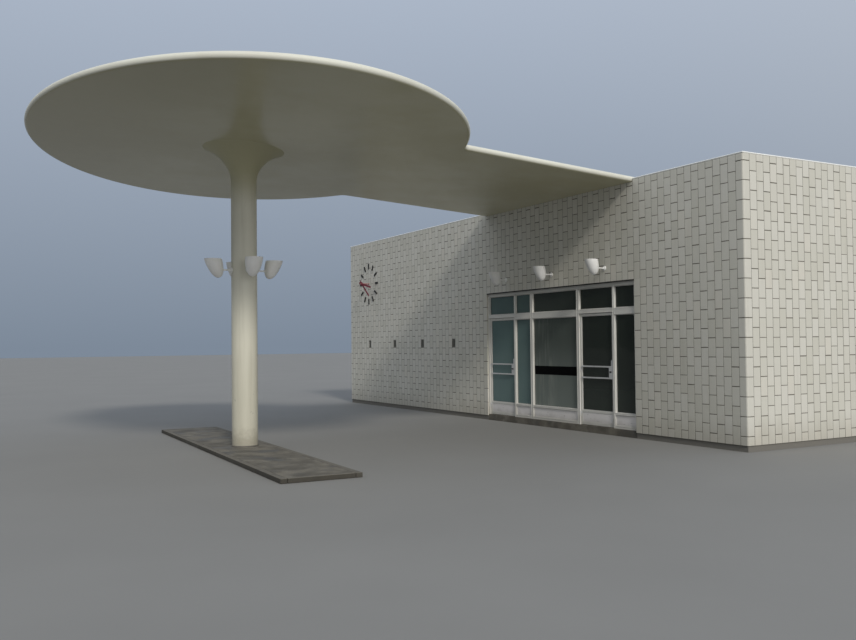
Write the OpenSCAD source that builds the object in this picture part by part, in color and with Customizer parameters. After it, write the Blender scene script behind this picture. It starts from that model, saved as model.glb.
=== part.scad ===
// Filling station canopy: an oval concrete roof on one flared column, with a
// tail that slopes down onto the front wall of a white tiled kiosk.
// The origin is on the ground under the column. +X runs to the right along the
// kiosk's front, +Y from the column to the kiosk, +Z up. Lengths are in mm.

/* [Canopy] */
// Length of the oval, along the kiosk's front
canopy_l = 9396; // [8800:2:10200]
// Width of the oval, along the roof's fall
canopy_w = 6568; // [5900:2:7400]
// Thickness of the roof slab
slab_t = 100; // [80:1:140]
// Height of the slab's middle above the ground, over the column
canopy_h = 4962; // [4930:1:5100]
// Fall of the roof towards the kiosk, in degrees
fall = 3.7; // [3.5:0.01:3.9]
// Inside radius of the corner between the oval and the tail
notch_r = 100; // [50:5:600]
// Width of the bare rim around the roofing
rim_w = 90; // [60:1:150]
// Thickness of the roofing sheets
roofing_t = 8; // [4:1:15]

/* [Column] */
// Diameter of the column
column_d = 416; // [340:2:460]
// Radius of the flared head under the slab
flare_r = 660; // [550:10:800]
// Height of the flared head
flare_h = 540; // [450:5:650]
// Share of a full quarter curve in the flare's side, 1 to end level
flare_share = 0.9; // [0.7:0.01:1]

/* [Island] */
// Reach of the island to the left of the column
island_left = 3620; // [2500:10:4200]
// Reach of the island to the right of the column
island_right = 3800; // [2500:10:4200]
// Reach of the island in front of the column
island_front = 640; // [500:5:1000]
// Reach of the island behind the column
island_back = 450; // [260:5:700]
// Height of the island
island_h = 65; // [40:1:150]
// Width of the kerb stones
kerb_w = 90; // [60:1:140]

// Turn of the island about the column, in degrees
island_turn = -1.7; // [-4:0.1:4]

/* [Lamps] */
// Diameter of a shade on the column at its open top
column_shade_d = 282; // [220:2:340]
// Height of a shade on the column
column_shade_h = 305; // [240:1:360]
// Diameter of a shade on the wall at its open top
wall_shade_d = 238; // [220:2:340]
// Height of a shade on the wall
wall_shade_h = 285; // [240:1:360]
// Radius of the rounded bottom of a shade
shade_bottom_r = 90; // [50:1:100]
// How far a shade bulges past its rim, towards the wall or the column
shade_bulge = 31; // [0:1:50]
// Wall thickness of a shade
shade_t = 4; // [2:0.5:6]
// Distance from the wall or column to the middle of a shade
lamp_reach = 310; // [260:5:400]
// Height of the rims of the shades on the column
column_lamp_z = 3100; // [2800:5:3600]
// Height of the rims of the shades on the wall
wall_lamp_z = 3195; // [3150:5:3600]
// Distance between the shades on the wall
wall_lamp_pitch = 1590; // [1200:5:1900]
// Height of a lamp's arm above the bottom of its shade
arm_up = 130; // [100:1:180]
// Diameter of a lamp's arm
arm_d = 24; // [16:1:40]
// Diameter of the round plate at the foot of an arm
rose_d = 90; // [60:1:120]
// Thickness of the round plate
rose_t = 12; // [6:1:16]

/* [Kiosk] */
// Distance from the column's axis to the kiosk's front face
kiosk_y = 6270; // [5900:5:6600]
// Width of one column of tiles, with its joint
tile_w = 152.5; // [148:0.5:156]
// Tile columns to the right of the glazed opening
right_columns = 15; // [11:2:19]
// Tile columns above the glazed opening
opening_columns = 31; // [31:1:33]
// Tile columns to the left of the glazed opening
left_columns = 47; // [45:2:51]
// Tile columns on a side wall
side_columns = 47; // [31:2:61]
// Width of each face of a corner tile
corner_w = 144; // [120:1:160]
// Radius of the rounded edge of a corner tile
corner_r = 30; // [15:1:50]
// Thickness of the tiles
tile_t = 20; // [12:1:30]
// Thickness of a wall with its tiles
wall_t = 300; // [260:5:380]
// Height of the walls above the slab's underside, where it rests on them
wall_over = 43.6; // [35:0.1:80]
// Height of the plain base below the tiles
base_h = 100; // [60:1:115]
// Height of the coping on the walls
coping_t = 23; // [12:1:40]
// Overhang of the coping
coping_over = 5; // [2:1:12]
// Thickness of the kiosk's roof slab
roof_t = 200; // [150:5:260]
// Depth of the kiosk's roof below the top of the walls
parapet_h = 200; // [120:5:280]
// Height of the floor above the ground
floor_h = 120; // [110:1:128]
// Open joint between lengths of coping
coping_joint = 2; // [1:0.5:4]

/* [Vents] */
// Number of vents in the left front wall
vent_count = 4; // [1:1:4]
// Tile columns from the right corner to the first vent
vent_first = 55; // [53:1:57]
// Tile columns from one vent to the next
vent_step = 10; // [6:1:10]
// Height of a vent
vent_h = 200; // [120:5:280]
// Height of the middle of a vent above the ground
vent_z = 1700; // [1200:10:2200]
// Depth of a vent's sleeve
vent_depth = 90; // [50:5:150]
// Thickness of a vent's sleeve and slats
vent_t = 5; // [3:0.5:8]

/* [Glazing] */
// Height of the bottom of the opening, on top of the threshold
sill_z = 130; // [128:1:150]
// Height of the top of the opening
opening_top = 2790; // [2600:5:2880]
// Thickness of the steel lintel over the opening
lintel_t = 8; // [5:1:15]
// Height of the lintel's front leg
lintel_leg_h = 24; // [12:1:50]
// Thickness of the lintel's front leg
lintel_leg_t = 6; // [4:0.5:10]
// Setback of the frame behind the tiles
frame_back = 33; // [20:1:60]
// Depth of the frame
frame_d = 100; // [90:1:130]
// Width of a jamb
jamb_w = 45; // [40:1:60]
// Width of a slim mullion, beside a door's lock
slim_w = 45; // [40:1:60]
// Width of a stout mullion, beside the middle bay
stout_w = 75; // [60:1:100]
// Width of a door bay
door_bay_w = 955; // [900:1:1000]
// Width of a narrow fixed bay
side_bay_w = 530; // [450:1:600]
// Height of the frame's head
head_h = 75; // [60:1:90]
// Height of the underside of the transom above the doors
transom_z = 2235; // [2100:1:2300]
// Height of the transom
transom_h = 72; // [55:1:90]
// Height of the strip under the transom in the fixed bays
strip_h = 45; // [30:1:60]
// Height of the bottom rail of a fixed bay
sill_h = 50; // [40:1:70]
// Height of the top of the kick panels
kick_top = 410; // [350:1:500]
// Height of the ledge on top of a kick panel
ledge_h = 35; // [25:1:50]
// Thickness of the kick panels
panel_t = 24; // [16:1:34]
// Thickness of the glass
glass_t = 8; // [5:1:10]
// Setback of the fixed glass behind the frame's face
glass_back = 45; // [30:1:60]

/* [Doors] */
// Setback of the doors behind the frame's face
leaf_back = 25; // [24:1:34]
// Thickness of a door leaf
leaf_t = 45; // [36:1:50]
// Gap around a door leaf
leaf_gap = 7; // [7:1:9]
// Width of a door's stiles and top rail
stile_w = 38; // [30:1:60]
// Height of a door's bottom rail
bottom_rail_h = 50; // [40:1:80]
// Height of the lower push rail
push_low_z = 1026; // [950:1:1060]
// Height of the upper push rail
push_high_z = 1236; // [1180:1:1300]
// Height of a push rail
push_h = 28; // [20:1:36]
// Depth of a push rail
push_d = 20; // [14:1:20]
// Distance of the push rails from the door's hinged edge
push_in = 42; // [38:1:80]
// Width of the lock case
lock_w = 115; // [90:1:140]
// Width of the latch plate above the lock case
latch_w = 60; // [40:1:80]
// Height of the latch plate above the upper push rail
latch_h = 105; // [60:1:140]
// Diameter of the door knob
knob_d = 34; // [26:1:44]
// Length of the door knob with its neck
knob_l = 28; // [22:1:34]
// Height of the door knob
knob_z = 1143; // [1120:1:1150]
// Radius of a hinge's knuckles
hinge_r = 8; // [7:0.5:8]
// Height of a hinge
hinge_h = 90; // [70:2:120]
// Distance of the outer hinges from the ends of a door
hinge_inset = 200; // [120:5:300]
// Radius of a hinge's pin
pin_r = 4; // [3:0.5:5]
// Running gap around a hinge pin or a clock hub
running_gap = 0.3; // [0.2:0.1:0.5]

/* [Clock] */
// Distance from the column's axis to the clock, to the left
clock_x = 8425; // [8200:5:8500]
// Height of the clock's middle
clock_z = 3393; // [3200:1:3600]
// Outer radius of the ring of marks
mark_r = 575; // [500:5:640]
// Length of a mark
mark_l = 160; // [100:2:200]
// Width of a mark
mark_w = 54; // [30:1:80]
// Thickness of a mark
mark_t = 15; // [5:1:25]
// Length of the sleeve that carries the hands off the wall
sleeve_l = 216; // [60:1:300]
// Diameter of the sleeve
sleeve_d = 40; // [30:1:70]
// Diameter of the spindle through the hands
spindle_d = 24; // [16:1:32]
// Thickness of a hand's hub
hub_t = 14; // [10:1:20]
// Diameter of a hand's hub
hub_d = 90; // [60:1:110]
// Length of the minute hand
minute_l = 620; // [500:5:700]
// Length of the hour hand
hour_l = 580; // [400:5:650]
// Length of the tail of a hand
hand_tail = 125; // [60:1:180]
// Width of a hand at its hub
hand_w = 60; // [40:1:80]
// Width of a hand at its tip
hand_tip_w = 50; // [20:1:70]
// Thickness of a hand
hand_t = 6; // [3:0.5:8]
// Minutes past four that the hands show
minutes = 17; // [0:1:59]

/* [Hidden] */
$fn = 96;
eps = 1;
big = 40000;
opening_w = opening_columns * tile_w;
half_w = opening_w / 2;
right_x = half_w + right_columns * tile_w + corner_w;
left_x = -half_w - left_columns * tile_w - corner_w;
back_y = kiosk_y + 2 * corner_w + side_columns * tile_w;
core_y = kiosk_y + tile_t;
inner_y = kiosk_y + wall_t;
frame_y = kiosk_y + frame_back;
glass_y = frame_y + glass_back;
leaf_y = frame_y + leaf_back;
head_z = opening_top - lintel_t - head_h;
ledge_z = kick_top - ledge_h;
centre_bay_w = opening_w - 2 * (jamb_w + door_bay_w + slim_w + side_bay_w + stout_w);
bay_w = [door_bay_w, side_bay_w, centre_bay_w, door_bay_w, side_bay_w];
upright_w = [jamb_w, slim_w, stout_w, stout_w, slim_w, jamb_w];
door_bays = [0, 3];
fixed_bays = [1, 2, 4];
door_w = door_bay_w - 2 * leaf_gap;
door_h = transom_z - sill_z - 2 * leaf_gap;
door_z = sill_z + leaf_gap;
door_hinge_z = [door_z + hinge_inset, door_z + door_h / 2, door_z + door_h - hinge_inset];
strap_l = 28;
strap_t = 4;
hinge_plate_t = 6;
knob_neck_d = 20;
knob_neck_l = 12;
axis_in = hinge_r + eps;
hinge_y = leaf_y - axis_in;
column_r = column_d / 2;
column_lamp_reach = column_r + lamp_reach;
spacer_d = 36;
spacer_l = 5;
cap_d = 45;
cap_l = 8;
hour_y = sleeve_l + running_gap;
spacer_y = hour_y + hub_t + running_gap;
minute_y = spacer_y + spacer_l + running_gap;
cap_y = minute_y + hub_t + running_gap;
vent_w = tile_w;
vent_slats = 5;
arm_root = 20;
seat_gap = 0.1;
roofing_stop = 20;

// Sum of the first n entries of a list
function total(v, n) = n == 0 ? 0 : v[n - 1] + total(v, n - 1);
// Left side of upright i and of bay i, counted from the left
function upright_x(i) = -half_w + total(upright_w, i) + total(bay_w, i);
function bay_x(i) = upright_x(i) + upright_w[i];
// Middle of a vent, counted from the right
function vent_x(i) = right_x - corner_w - (vent_first + i * vent_step + 0.5) * tile_w;
// Height of the slab's underside above the point y of the plan
function under_z(y) = canopy_h - slab_t / 2 / cos(fall) - y * tan(fall);
wall_top = under_z(kiosk_y) + wall_over;
roof_top = wall_top - parapet_h;

// The oval, and the tail's side as the line x = half_w - d, for an outline drawn in
// from the edge by d. The corner between them is an arc that touches both.
tail_end = inner_y / cos(fall) + wall_t;
function oval(t, d) = [(canopy_l / 2 - d) * cos(t), (canopy_w / 2 - d) * sin(t)];
function oval_normal(t, d) =
    let (n = [(canopy_w / 2 - d) * cos(t), (canopy_l / 2 - d) * sin(t)]) n / norm(n);
function arc_centre(t, d) = oval(t, d) + (notch_r + d) * oval_normal(t, d);
function arc_angle(lo, hi, d, n) =
    let (mid = (lo + hi) / 2)
    n == 0 ? mid
    : arc_centre(mid, d)[0] > half_w + notch_r ? arc_angle(mid, hi, d, n - 1)
    : arc_angle(lo, mid, d, n - 1);
function half_outline(d) =
    let (t = arc_angle(1, 89, d, 40))
    let (c = arc_centre(t, d))
    let (from = atan2(-oval_normal(t, d)[1], -oval_normal(t, d)[0]))
    let (turn = -180 - from)
    concat(
        [for (i = [0:60]) oval(-90 + i * (90 + t) / 60, d)],
        [for (i = [1:8]) c + (notch_r + d) * [cos(from + turn * i / 8), sin(from + turn * i / 8)]],
        [[half_w - d, tail_end]]);
function outline(d) =
    let (h = half_outline(d))
    concat(h, [for (i = [len(h) - 1:-1:1]) [-h[i][0], h[i][1]]]);

// Places its children in the slab's sloping plane, at height z above its middle
module in_slab(z) {
    translate([0, 0, canopy_h]) rotate([-fall, 0, 0]) translate([0, 0, z]) children();
}

module slab_plate(d, t) {
    intersection() {
        linear_extrude(t) polygon(outline(d));
        translate([-big / 2, -big / 2, -eps])
            cube([big, big / 2 + inner_y / cos(fall) - roofing_stop, t + 2 * eps]);
    }
}

module above_slab() {
    in_slab(-slab_t / 2) translate([-big / 2, -big / 2, 0]) cube([big, big, big / 2]);
}

module canopy_slab() {
    color("ivory")
    difference() {
        in_slab(-slab_t / 2) linear_extrude(slab_t) polygon(outline(0));
        translate([-big / 2, inner_y, 0]) cube([big, big, big]);
    }
}

module roofing() {
    color("dimgray") {
        in_slab(slab_t / 2) slab_plate(rim_w, roofing_t);
        translate([left_x + wall_t, inner_y, roof_top])
            cube([right_x - left_x - 2 * wall_t, back_y - kiosk_y - 2 * wall_t, roofing_t]);
    }
}

// The column stands on the island and reaches up to its flared head.
flare_z = under_z(0) - flare_h;

module column_shaft() {
    color("ivory") translate([0, 0, island_h]) cylinder(d = column_d, h = flare_z - island_h);
}

// A trumpet whose rings tilt little by little until the last lies on the slab's underside
module column_flare() {
    rings = 14;
    sides = 48;
    function swing(u) = 1 - sqrt(1 - pow(flare_share * u, 2));
    function ring_r(k) = column_r + (flare_r - column_r) * swing(k / rings) / swing(1);
    function point(k, s) =
        let (x = ring_r(k) * cos(360 * s / sides), y = ring_r(k) * sin(360 * s / sides))
        [x, y, flare_z + (under_z(y) - seat_gap - flare_z) * k / rings];
    points = [for (k = [0:rings]) for (s = [0:sides - 1]) point(k, s)];
    faces = concat(
        [[for (s = [0:sides - 1]) s]],
        [for (k = [0:rings - 1]) for (s = [0:sides - 1])
            [k * sides + s, (k + 1) * sides + s, (k + 1) * sides + (s + 1) % sides,
                k * sides + (s + 1) % sides]],
        [[for (s = [sides - 1:-1:0]) rings * sides + s]]);
    color("ivory") polyhedron(points, faces);
}

module island_kerb() {
    color("lightgray") rotate([0, 0, island_turn])
    difference() {
        translate([-island_left, -island_front, 0])
            cube([island_left + island_right, island_front + island_back, island_h]);
        translate([-island_left + kerb_w, -island_front + kerb_w, -eps])
            cube([island_left + island_right - 2 * kerb_w, island_front + island_back - 2 * kerb_w,
                island_h + 2 * eps]);
    }
}

module island_top() {
    color("gray") rotate([0, 0, island_turn])
    translate([-island_left + kerb_w, -island_front + kerb_w, 0])
        cube([island_left + island_right - 2 * kerb_w, island_front + island_back - 2 * kerb_w, island_h]);
}

// The filled form of a shade, with the middle of its rim over the origin at the height of its
// bottom. Its bulging side faces -X, towards the wall or the column that carries it.
module shade_form(d, h, grow) {
    hull() {
        translate([0, 0, h - eps]) cylinder(r = d / 2 + grow, h = eps, $fn = 28);
        translate([shade_bottom_r - shade_bulge - d / 2, 0, shade_bottom_r])
            sphere(shade_bottom_r + grow, $fn = 28);
    }
}

module shade(d, h) {
    difference() {
        shade_form(d, h, 0);
        translate([0, 0, eps]) shade_form(d, h, -shade_t);
    }
}

// Rose and arm of one lamp, from the carrying surface at x = -lamp_reach up to the shade
module arm(d, h, into) {
    translate([-lamp_reach - into, 0, arm_up]) rotate([0, 90, 0])
        cylinder(d = rose_d, h = rose_t + into);
    difference() {
        translate([-lamp_reach - into, 0, arm_up]) rotate([0, 90, 0])
            cylinder(d = arm_d, h = lamp_reach + into - d / 2);
        shade_form(d, h, running_gap);
    }
}

module at_column_lamps() {
    for (i = [0:3]) rotate([0, 0, 90 * i])
        translate([column_lamp_reach, 0, column_lamp_z - column_shade_h]) children();
}

module at_wall_lamps() {
    for (i = [-1:1])
        translate([i * wall_lamp_pitch, kiosk_y - lamp_reach, wall_lamp_z - wall_shade_h])
        rotate([0, 0, -90]) children();
}

module column_lamp_shades() {
    color("white") at_column_lamps() shade(column_shade_d, column_shade_h);
}

module column_lamp_arms() {
    color("white")
    difference() {
        at_column_lamps() arm(column_shade_d, column_shade_h, arm_root);
        translate([0, 0, column_lamp_z - column_shade_h]) cylinder(d = column_d, h = column_shade_h);
    }
}

module wall_lamp_shades() {
    color("white") at_wall_lamps() shade(wall_shade_d, wall_shade_h);
}

module wall_lamp_arms() {
    color("white") at_wall_lamps() arm(wall_shade_d, wall_shade_h, 0);
}

// Walls: the masonry behind the tiles, down to the ground
module floor_slab() {
    color("gray")
    translate([left_x + wall_t, inner_y, 0])
        cube([right_x - left_x - 2 * wall_t, back_y - kiosk_y - 2 * wall_t, floor_h]);
}

module vent_holes() {
    for (i = [0:vent_count - 1])
        translate([vent_x(i) - vent_w / 2, kiosk_y - eps, vent_z - vent_h / 2])
            cube([vent_w, wall_t + 2 * eps, vent_h]);
}

module front_wall_left() {
    color("lightgray")
    difference() {
        translate([left_x + tile_t, core_y, 0])
            cube([-half_w - left_x - tile_t, wall_t - tile_t, wall_top]);
        vent_holes();
    }
}

module front_wall_right() {
    color("lightgray")
    translate([half_w, core_y, 0]) cube([right_x - half_w - tile_t, wall_t - tile_t, wall_top]);
}

module front_wall_over_glazing() {
    color("lightgray")
    difference() {
        translate([-half_w, core_y, opening_top]) cube([opening_w, wall_t - tile_t, wall_top - opening_top]);
        above_slab();
    }
}

module side_wall() {
    cube([wall_t - tile_t, back_y - inner_y - tile_t, wall_top]);
}

module right_wall() {
    color("lightgray") translate([right_x - wall_t, inner_y, 0]) side_wall();
}

module left_wall() {
    color("lightgray") translate([left_x + tile_t, inner_y, 0]) side_wall();
}

module back_wall() {
    color("lightgray")
    translate([left_x + wall_t, back_y - wall_t, 0])
        cube([right_x - left_x - 2 * wall_t, wall_t - tile_t, wall_top]);
}

module roof_slab() {
    color("lightgray")
    translate([left_x + wall_t, inner_y, roof_top - roof_t])
        cube([right_x - left_x - 2 * wall_t, back_y - kiosk_y - 2 * wall_t, roof_t]);
}

// Tiles: one sheet for each face, between the rounded corner tiles
module front_tiles() {
    color("whitesmoke")
    difference() {
        translate([left_x + corner_w, kiosk_y, base_h])
            cube([right_x - left_x - 2 * corner_w, tile_t, wall_top - base_h]);
        translate([-half_w, kiosk_y - eps, 0]) cube([opening_w, tile_t + 2 * eps, opening_top]);
        intersection() {
            above_slab();
            translate([-half_w, kiosk_y - eps, 0]) cube([opening_w, tile_t + 2 * eps, big]);
        }
        vent_holes();
    }
}

module side_tiles() {
    color("whitesmoke")
    for (x = [left_x, right_x - tile_t])
        translate([x, kiosk_y + corner_w, base_h]) cube([tile_t, side_columns * tile_w, wall_top - base_h]);
}

module back_tiles() {
    color("whitesmoke")
    translate([left_x + corner_w, back_y - tile_t, base_h])
        cube([right_x - left_x - 2 * corner_w, tile_t, wall_top - base_h]);
}

module corner_tiles() {
    module corner() {
        linear_extrude(wall_top - base_h)
        difference() {
            union() {
                translate([corner_r, corner_r]) circle(corner_r);
                translate([corner_r, 0]) square([corner_w - corner_r, corner_w]);
                translate([0, corner_r]) square([corner_w, corner_w - corner_r]);
            }
            translate([tile_t, tile_t]) square(corner_w);
        }
    }
    color("whitesmoke") {
        translate([left_x, kiosk_y, base_h]) corner();
        translate([right_x, kiosk_y, base_h]) rotate([0, 0, 90]) corner();
        translate([right_x, back_y, base_h]) rotate([0, 0, 180]) corner();
        translate([left_x, back_y, base_h]) rotate([0, 0, 270]) corner();
    }
}

// Coping: five lengths with open joints between them and beside the tail
module coping() {
    w = wall_t + 2 * coping_over;
    left = left_x - coping_over;
    right = right_x + coping_over;
    front = kiosk_y - coping_over;
    run = back_y - kiosk_y - 2 * wall_t - 2 * coping_over - 2 * coping_joint;
    color("silver") translate([0, 0, wall_top]) {
        translate([left, front, 0]) cube([-half_w - coping_joint - left, w, coping_t]);
        translate([half_w + coping_joint, front, 0]) cube([right - half_w - coping_joint, w, coping_t]);
        translate([left, front + w + coping_joint, 0]) cube([w, run, coping_t]);
        translate([right - w, front + w + coping_joint, 0]) cube([w, run, coping_t]);
        translate([left, back_y + coping_over - w, 0]) cube([right - left, w, coping_t]);
    }
}

// Four sleeves with slats, in the holes of the left front wall
module vent_grilles() {
    color("dimgray")
    for (i = [0:vent_count - 1])
        translate([vent_x(i) - vent_w / 2, kiosk_y, vent_z - vent_h / 2]) {
            difference() {
                cube([vent_w, vent_depth, vent_h]);
                translate([vent_t, -eps, vent_t])
                    cube([vent_w - 2 * vent_t, vent_depth + 2 * eps, vent_h - 2 * vent_t]);
            }
            for (k = [1:vent_slats])
                translate([vent_t, vent_depth / 2, vent_h * k / (vent_slats + 1)])
                    cube([vent_w - 2 * vent_t, vent_depth / 2, vent_t]);
        }
}

module lintel() {
    color("dimgray") {
        translate([-half_w, kiosk_y, opening_top - lintel_t]) cube([opening_w, wall_t, lintel_t]);
        translate([-half_w, kiosk_y, opening_top - lintel_leg_h])
            cube([opening_w, lintel_leg_t, lintel_leg_h - lintel_t + eps]);
    }
}

module threshold() {
    color("gray") translate([-half_w, core_y, 0]) cube([opening_w, wall_t - tile_t, sill_z]);
}

// Frame: six uprights, the head over them, and the bars between them
module frame_uprights() {
    color("white")
    for (i = [0:5]) translate([upright_x(i), frame_y, sill_z])
        cube([upright_w[i], frame_d, head_z - sill_z]);
}

module bar(bay, z, h) {
    translate([bay_x(bay), frame_y, z]) cube([bay_w[bay], frame_d, h]);
}

module frame_bars() {
    color("white") {
        translate([-half_w, frame_y, head_z]) cube([opening_w, frame_d, head_h]);
        for (i = door_bays) bar(i, transom_z, transom_h);
        for (i = fixed_bays) {
            bar(i, transom_z - strip_h, transom_h + strip_h);
            bar(i, ledge_z, ledge_h);
            bar(i, sill_z, sill_h);
        }
    }
}

module fixed_glass() {
    module pane(bay, low, high) {
        translate([bay_x(bay), glass_y, low]) cube([bay_w[bay], glass_t, high - low]);
    }
    color("lightblue", 0.4) {
        for (i = [0:4]) pane(i, transom_z + transom_h, head_z);
        for (i = fixed_bays) pane(i, kick_top, transom_z - strip_h);
    }
}

module kick_panels() {
    color("white")
    for (i = fixed_bays)
        translate([bay_x(i), glass_y, sill_z + sill_h])
            cube([bay_w[i], panel_t, ledge_z - sill_z - sill_h]);
}

// A door leaf, drawn with its lower hinge corner at the origin and its face at y = 0
module at_door(bay) {
    translate([bay_x(bay) + leaf_gap, leaf_y, door_z]) children();
}

module door_leaf() {
    color("white")
    difference() {
        cube([door_w, leaf_t, door_h]);
        translate([stile_w, -eps, kick_top - door_z])
            cube([door_w - 2 * stile_w, leaf_t + 2 * eps, door_h - stile_w - (kick_top - door_z)]);
        translate([stile_w, -eps, bottom_rail_h])
            cube([door_w - 2 * stile_w, leaf_t + 2 * eps, ledge_z - door_z - bottom_rail_h]);
    }
}

module door_glass() {
    color("lightblue", 0.4)
    translate([stile_w, (leaf_t - glass_t) / 2, kick_top - door_z])
        cube([door_w - 2 * stile_w, glass_t, door_h - stile_w - (kick_top - door_z)]);
}

module door_panel() {
    color("white")
    translate([stile_w, (leaf_t - panel_t) / 2, bottom_rail_h])
        cube([door_w - 2 * stile_w, panel_t, ledge_z - door_z - bottom_rail_h]);
}

// Push rails with the lock case at their right end, the latch plate and the knob
module door_rails() {
    case_x = door_w - lock_w;
    low = push_low_z - door_z - push_h / 2;
    high = push_high_z - door_z + push_h / 2;
    color("silver") {
        for (z = [low, high - push_h])
            translate([push_in, -push_d, z]) cube([case_x - push_in + eps, push_d, push_h]);
        translate([case_x, -push_d, low]) cube([lock_w, push_d, high - low]);
        translate([door_w - latch_w, -push_d, high - eps]) cube([latch_w, push_d, latch_h + eps]);
    }
}

module door_knob() {
    color("black")
    translate([door_w - lock_w / 2, -push_d, knob_z - door_z]) rotate([90, 0, 0]) {
        cylinder(d = knob_neck_d, h = knob_l);
        translate([0, 0, knob_neck_l]) cylinder(d = knob_d, h = knob_l - knob_neck_l);
    }
}

// Hinges: the upper knuckle turns with the door, on a pin that stands on the lower one
module door_hinges() {
    color("silver")
    for (z = door_hinge_z)
        translate([axis_in - leaf_gap, -axis_in, z - door_z])
            difference() {
                union() {
                    translate([0, 0, eps / 2]) cylinder(r = hinge_r, h = hinge_h / 2 - eps / 2);
                    translate([0, axis_in - strap_t, eps / 2])
                        cube([strap_l, strap_t, hinge_h / 2 - eps / 2]);
                }
                translate([0, 0, -eps]) cylinder(r = pin_r + running_gap, h = hinge_h);
            }
}

module frame_hinges() {
    color("silver")
    for (bay = door_bays) for (z = door_hinge_z)
        translate([bay_x(bay) + axis_in, hinge_y, z]) {
            translate([0, 0, -hinge_h / 2]) cylinder(r = hinge_r, h = hinge_h / 2);
            translate([0, 0, -eps]) cylinder(r = pin_r, h = hinge_h / 2);
            translate([-axis_in, -hinge_plate_t / 2, -hinge_h / 2])
                cube([axis_in, hinge_plate_t, hinge_h / 2]);
        }
}

module left_door_leaf() { at_door(door_bays[0]) door_leaf(); }
module left_door_glass() { at_door(door_bays[0]) door_glass(); }
module left_door_panel() { at_door(door_bays[0]) door_panel(); }
module left_door_rails() { at_door(door_bays[0]) door_rails(); }
module left_door_knob() { at_door(door_bays[0]) door_knob(); }
module left_door_hinges() { at_door(door_bays[0]) door_hinges(); }
module right_door_leaf() { at_door(door_bays[1]) door_leaf(); }
module right_door_glass() { at_door(door_bays[1]) door_glass(); }
module right_door_panel() { at_door(door_bays[1]) door_panel(); }
module right_door_rails() { at_door(door_bays[1]) door_rails(); }
module right_door_knob() { at_door(door_bays[1]) door_knob(); }
module right_door_hinges() { at_door(door_bays[1]) door_hinges(); }

// Clock: drawn with y = 0 at the wall's face and pointing away from the wall
module at_clock() {
    translate([-clock_x, kiosk_y, clock_z]) children();
}

module out(y, d, l) {
    translate([0, -y, 0]) rotate([90, 0, 0]) cylinder(d = d, h = l);
}

module clock_marks() {
    color("black")
    at_clock()
    for (i = [0:11]) rotate([0, 30 * i, 0])
        translate([-mark_w / 2, -mark_t, mark_r - mark_l]) cube([mark_w, mark_t, mark_l]);
}

module clock_spindle() {
    color("darkred")
    at_clock() {
        out(0, sleeve_d, sleeve_l);
        out(0, spindle_d, cap_y + eps);
        out(spacer_y, spacer_d, spacer_l);
        out(cap_y, cap_d, cap_l);
    }
}

// A hand that points up, its hub from y = -from to y = -from - hub_t
module hand(from, l) {
    difference() {
        union() {
            out(from, hub_d, hub_t);
            translate([0, -from - (hub_t - hand_t) / 2, 0]) rotate([90, 0, 0]) linear_extrude(hand_t)
                polygon([[-hand_w / 2, -hand_tail], [hand_w / 2, -hand_tail],
                    [hand_tip_w / 2, l], [-hand_tip_w / 2, l]]);
        }
        out(from - eps, spindle_d + 2 * running_gap, hub_t + 2 * eps);
    }
}

module hour_hand() {
    color("crimson") at_clock() rotate([0, 120 + minutes / 2, 0]) hand(hour_y, hour_l);
}

module minute_hand() {
    color("crimson") at_clock() rotate([0, 6 * minutes, 0]) hand(minute_y, minute_l);
}

canopy_slab();
roofing();
column_shaft();
column_flare();
island_kerb();
island_top();
column_lamp_shades();
column_lamp_arms();
wall_lamp_shades();
wall_lamp_arms();
floor_slab();
front_wall_left();
front_wall_right();
front_wall_over_glazing();
right_wall();
left_wall();
back_wall();
roof_slab();
front_tiles();
side_tiles();
back_tiles();
corner_tiles();
coping();
vent_grilles();
lintel();
threshold();
frame_uprights();
frame_bars();
fixed_glass();
kick_panels();
frame_hinges();
left_door_leaf();
left_door_glass();
left_door_panel();
left_door_rails();
left_door_knob();
left_door_hinges();
right_door_leaf();
right_door_glass();
right_door_panel();
right_door_rails();
right_door_knob();
right_door_hinges();
clock_marks();
clock_spindle();
hour_hand();
minute_hand();
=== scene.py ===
# %% [markdown]
# # A filling station canopy with its kiosk
# The real object is a concrete oval on one column. Its tail slopes down onto the front wall of
# a kiosk that is covered with white glazed tiles. The solids of the building, with their exact
# sizes, come from a CAD model. This script dresses them: it rounds edges, lays the tiles one by
# one, and mixes a finish for every material. It runs from top to bottom, one cell per step.

# %% Load the CAD model
import math
import random

import bmesh
import bpy
from mathutils import Matrix, Vector


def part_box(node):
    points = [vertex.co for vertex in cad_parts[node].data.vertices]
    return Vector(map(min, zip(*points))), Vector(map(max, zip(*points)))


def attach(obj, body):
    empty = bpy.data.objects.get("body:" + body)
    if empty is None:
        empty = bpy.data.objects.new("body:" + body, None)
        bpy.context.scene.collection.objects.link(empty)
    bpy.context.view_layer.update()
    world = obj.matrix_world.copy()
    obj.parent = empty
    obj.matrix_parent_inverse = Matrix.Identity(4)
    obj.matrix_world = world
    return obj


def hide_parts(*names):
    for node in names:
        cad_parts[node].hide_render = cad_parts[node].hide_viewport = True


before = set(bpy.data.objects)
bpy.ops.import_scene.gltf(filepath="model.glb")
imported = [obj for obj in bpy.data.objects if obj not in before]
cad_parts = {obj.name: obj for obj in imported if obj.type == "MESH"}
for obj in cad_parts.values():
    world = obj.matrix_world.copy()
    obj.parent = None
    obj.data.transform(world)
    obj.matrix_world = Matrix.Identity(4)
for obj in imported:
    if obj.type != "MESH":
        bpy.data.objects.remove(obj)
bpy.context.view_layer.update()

# %% [markdown]
# The camera comes first, because everything else is seen through it. A camera object looks
# along its own -Z axis with +Y up, so a quaternion that tracks those two axes onto the line of
# sight points it, and a last small turn about the line of sight gives the picture its slight
# lean. The numbers were solved from the straight edges of the kiosk.

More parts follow.
